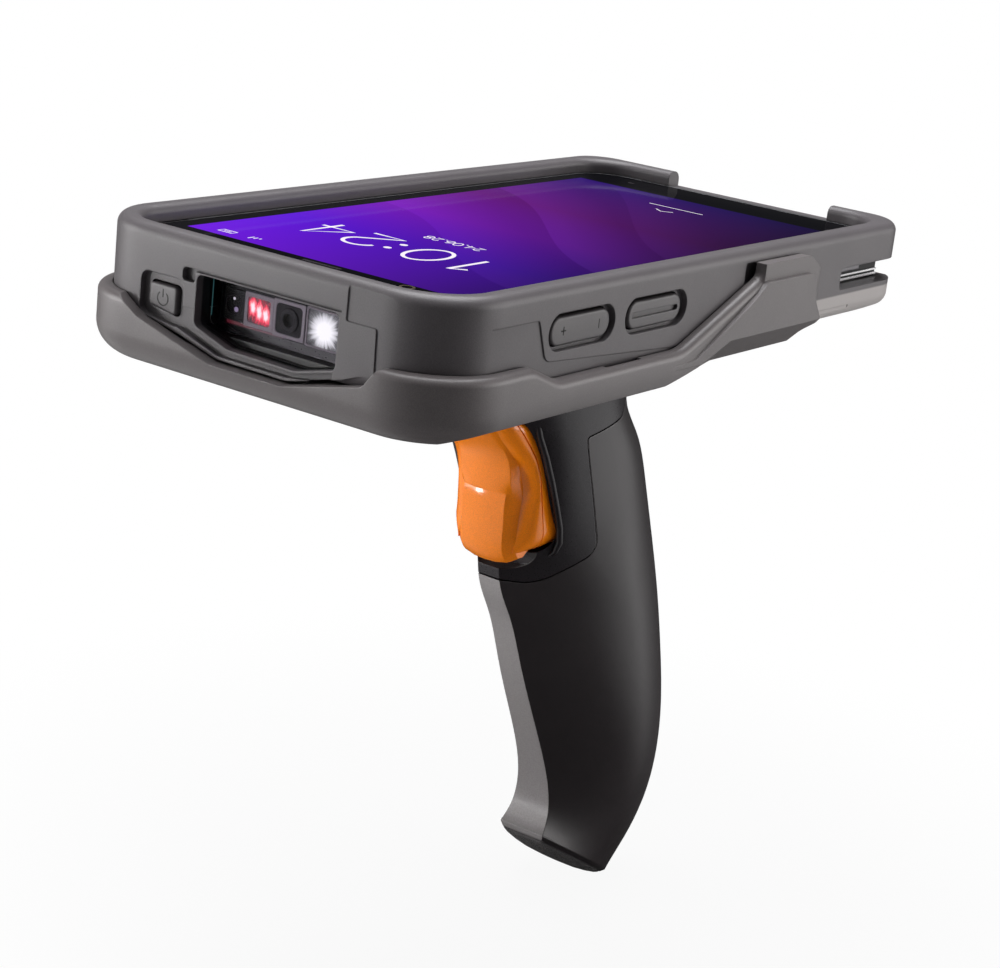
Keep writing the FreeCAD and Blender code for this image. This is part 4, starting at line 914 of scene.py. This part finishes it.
# Light boxes as gloss sees them: direction, cosines at which each begins and is full, and level
BOXES = ((Vector((0.77, 0.64, 0.0)), 0.70, 0.95, 1.0), (Vector((-0.68, -0.73, 0.0)), 0.55, 0.90, 1.0))
STUDIO_DARK = 0.05
CEILING = 0.9


# Stage

FLOOR_HALF = 3.0
FLOOR_GREY = 0.4
# Distances over which the shadow fades, and how much of it white covers under the object
SHADOW_FADE = (0.09, 0.20)
SHADOW_COVER = 0.93
# Distances over which gloss sees the floor rise to its full level, and the level under the object
DIM_FADE = (0.02, 0.30)
DIM_LEVEL = 0.5
floor_mesh = bpy.data.meshes.new("floor")
floor_corners = [(x * FLOOR_HALF, y * FLOOR_HALF, cad_low.z) for x, y in ((-1, -1), (1, -1), (1, 1), (-1, 1))]
floor_mesh.from_pydata(floor_corners, [], [(0, 1, 2, 3)])
floor = bpy.data.objects.new("floor", floor_mesh)
bpy.context.scene.collection.objects.link(floor)


def studio_side(tree, direction):
    """Level that gloss sees in a direction: two bright boxes and a dim room."""
    level = None
    for towards, low, high, strength in BOXES:
        facing = put(tree, "VectorMath", {0: direction, 1: tuple(towards)}, operation="DOT_PRODUCT")
        lobe = ranged(tree, facing.outputs["Value"], low, high, STUDIO_DARK, strength, smooth=True)
        level = lobe if level is None else maths(tree, "MAXIMUM", level, lobe)
    return level


def seen_by_gloss(tree, path):
    """1 on rays that a surface mirrors or lets through."""
    return maths(tree, "MAXIMUM", path.outputs["Is Glossy Ray"], path.outputs["Is Transmission Ray"])


def floor_material():
    """Pale floor: a faint shadow under the object, white further out, the boxes to gloss."""
    material, tree = new_material("pale_floor")
    where = put(tree, "TexCoord").outputs["Object"]
    far = put(tree, "VectorMath", {0: where}, operation="LENGTH").outputs["Value"]
    outward = put(tree, "VectorMath", {0: where}, operation="NORMALIZE").outputs["Vector"]
    path = put(tree, "LightPath")
    mirrored = seen_by_gloss(tree, path)
    seen = maths(tree, "MAXIMUM", path.outputs["Is Camera Ray"], mirrored)
    near = ranged(tree, far, *DIM_FADE, DIM_LEVEL, 1.0, smooth=True)
    side = maths(tree, "MULTIPLY", studio_side(tree, outward), near)
    level = maths(tree, "ADD", path.outputs["Is Camera Ray"], maths(tree, "MULTIPLY", mirrored, side))
    cover = ranged(tree, far, *SHADOW_FADE, SHADOW_COVER, 1.0, smooth=True)
    pale = put(tree, "BsdfDiffuse", {"Color": rgb(FLOOR_GREY, FLOOR_GREY, FLOOR_GREY)})
    white = put(tree, "Emission", {"Color": rgb(1, 1, 1), "Strength": level})
    close(tree, mixed_shader(tree, maths(tree, "MULTIPLY", seen, cover), pale.outputs["BSDF"],
                             white.outputs["Emission"]))
    return material


floor_mesh.materials.append(floor_material())


# World: white to the camera, boxes and ceiling to gloss, dim to the rest

AMBIENT = 0.09
world = bpy.data.worlds.new("studio")
world.use_nodes = True
tree = world.node_tree
tree.nodes.clear()


def background(strength):
    return put(tree, "Background", {"Color": rgb(1, 1, 1), "Strength": strength}).outputs["Background"]


path = put(tree, "LightPath")
direction = put(tree, "TexCoord").outputs["Generated"]
height = put(tree, "SeparateXYZ", {"Vector": direction}).outputs["Z"]
ceiling = ranged(tree, height, 0.45, 0.9, STUDIO_DARK, CEILING)
studio = background(maths(tree, "MAXIMUM", studio_side(tree, direction), ceiling))
around = mixed_shader(tree, seen_by_gloss(tree, path), background(AMBIENT), studio)
whole = mixed_shader(tree, path.outputs["Is Camera Ray"], around, background(1.0))
out = put(tree, "OutputWorld")
tree.links.new(whole, out.inputs["Surface"])
bpy.context.scene.world = world
bpy.context.scene.view_settings.view_transform = "Standard"
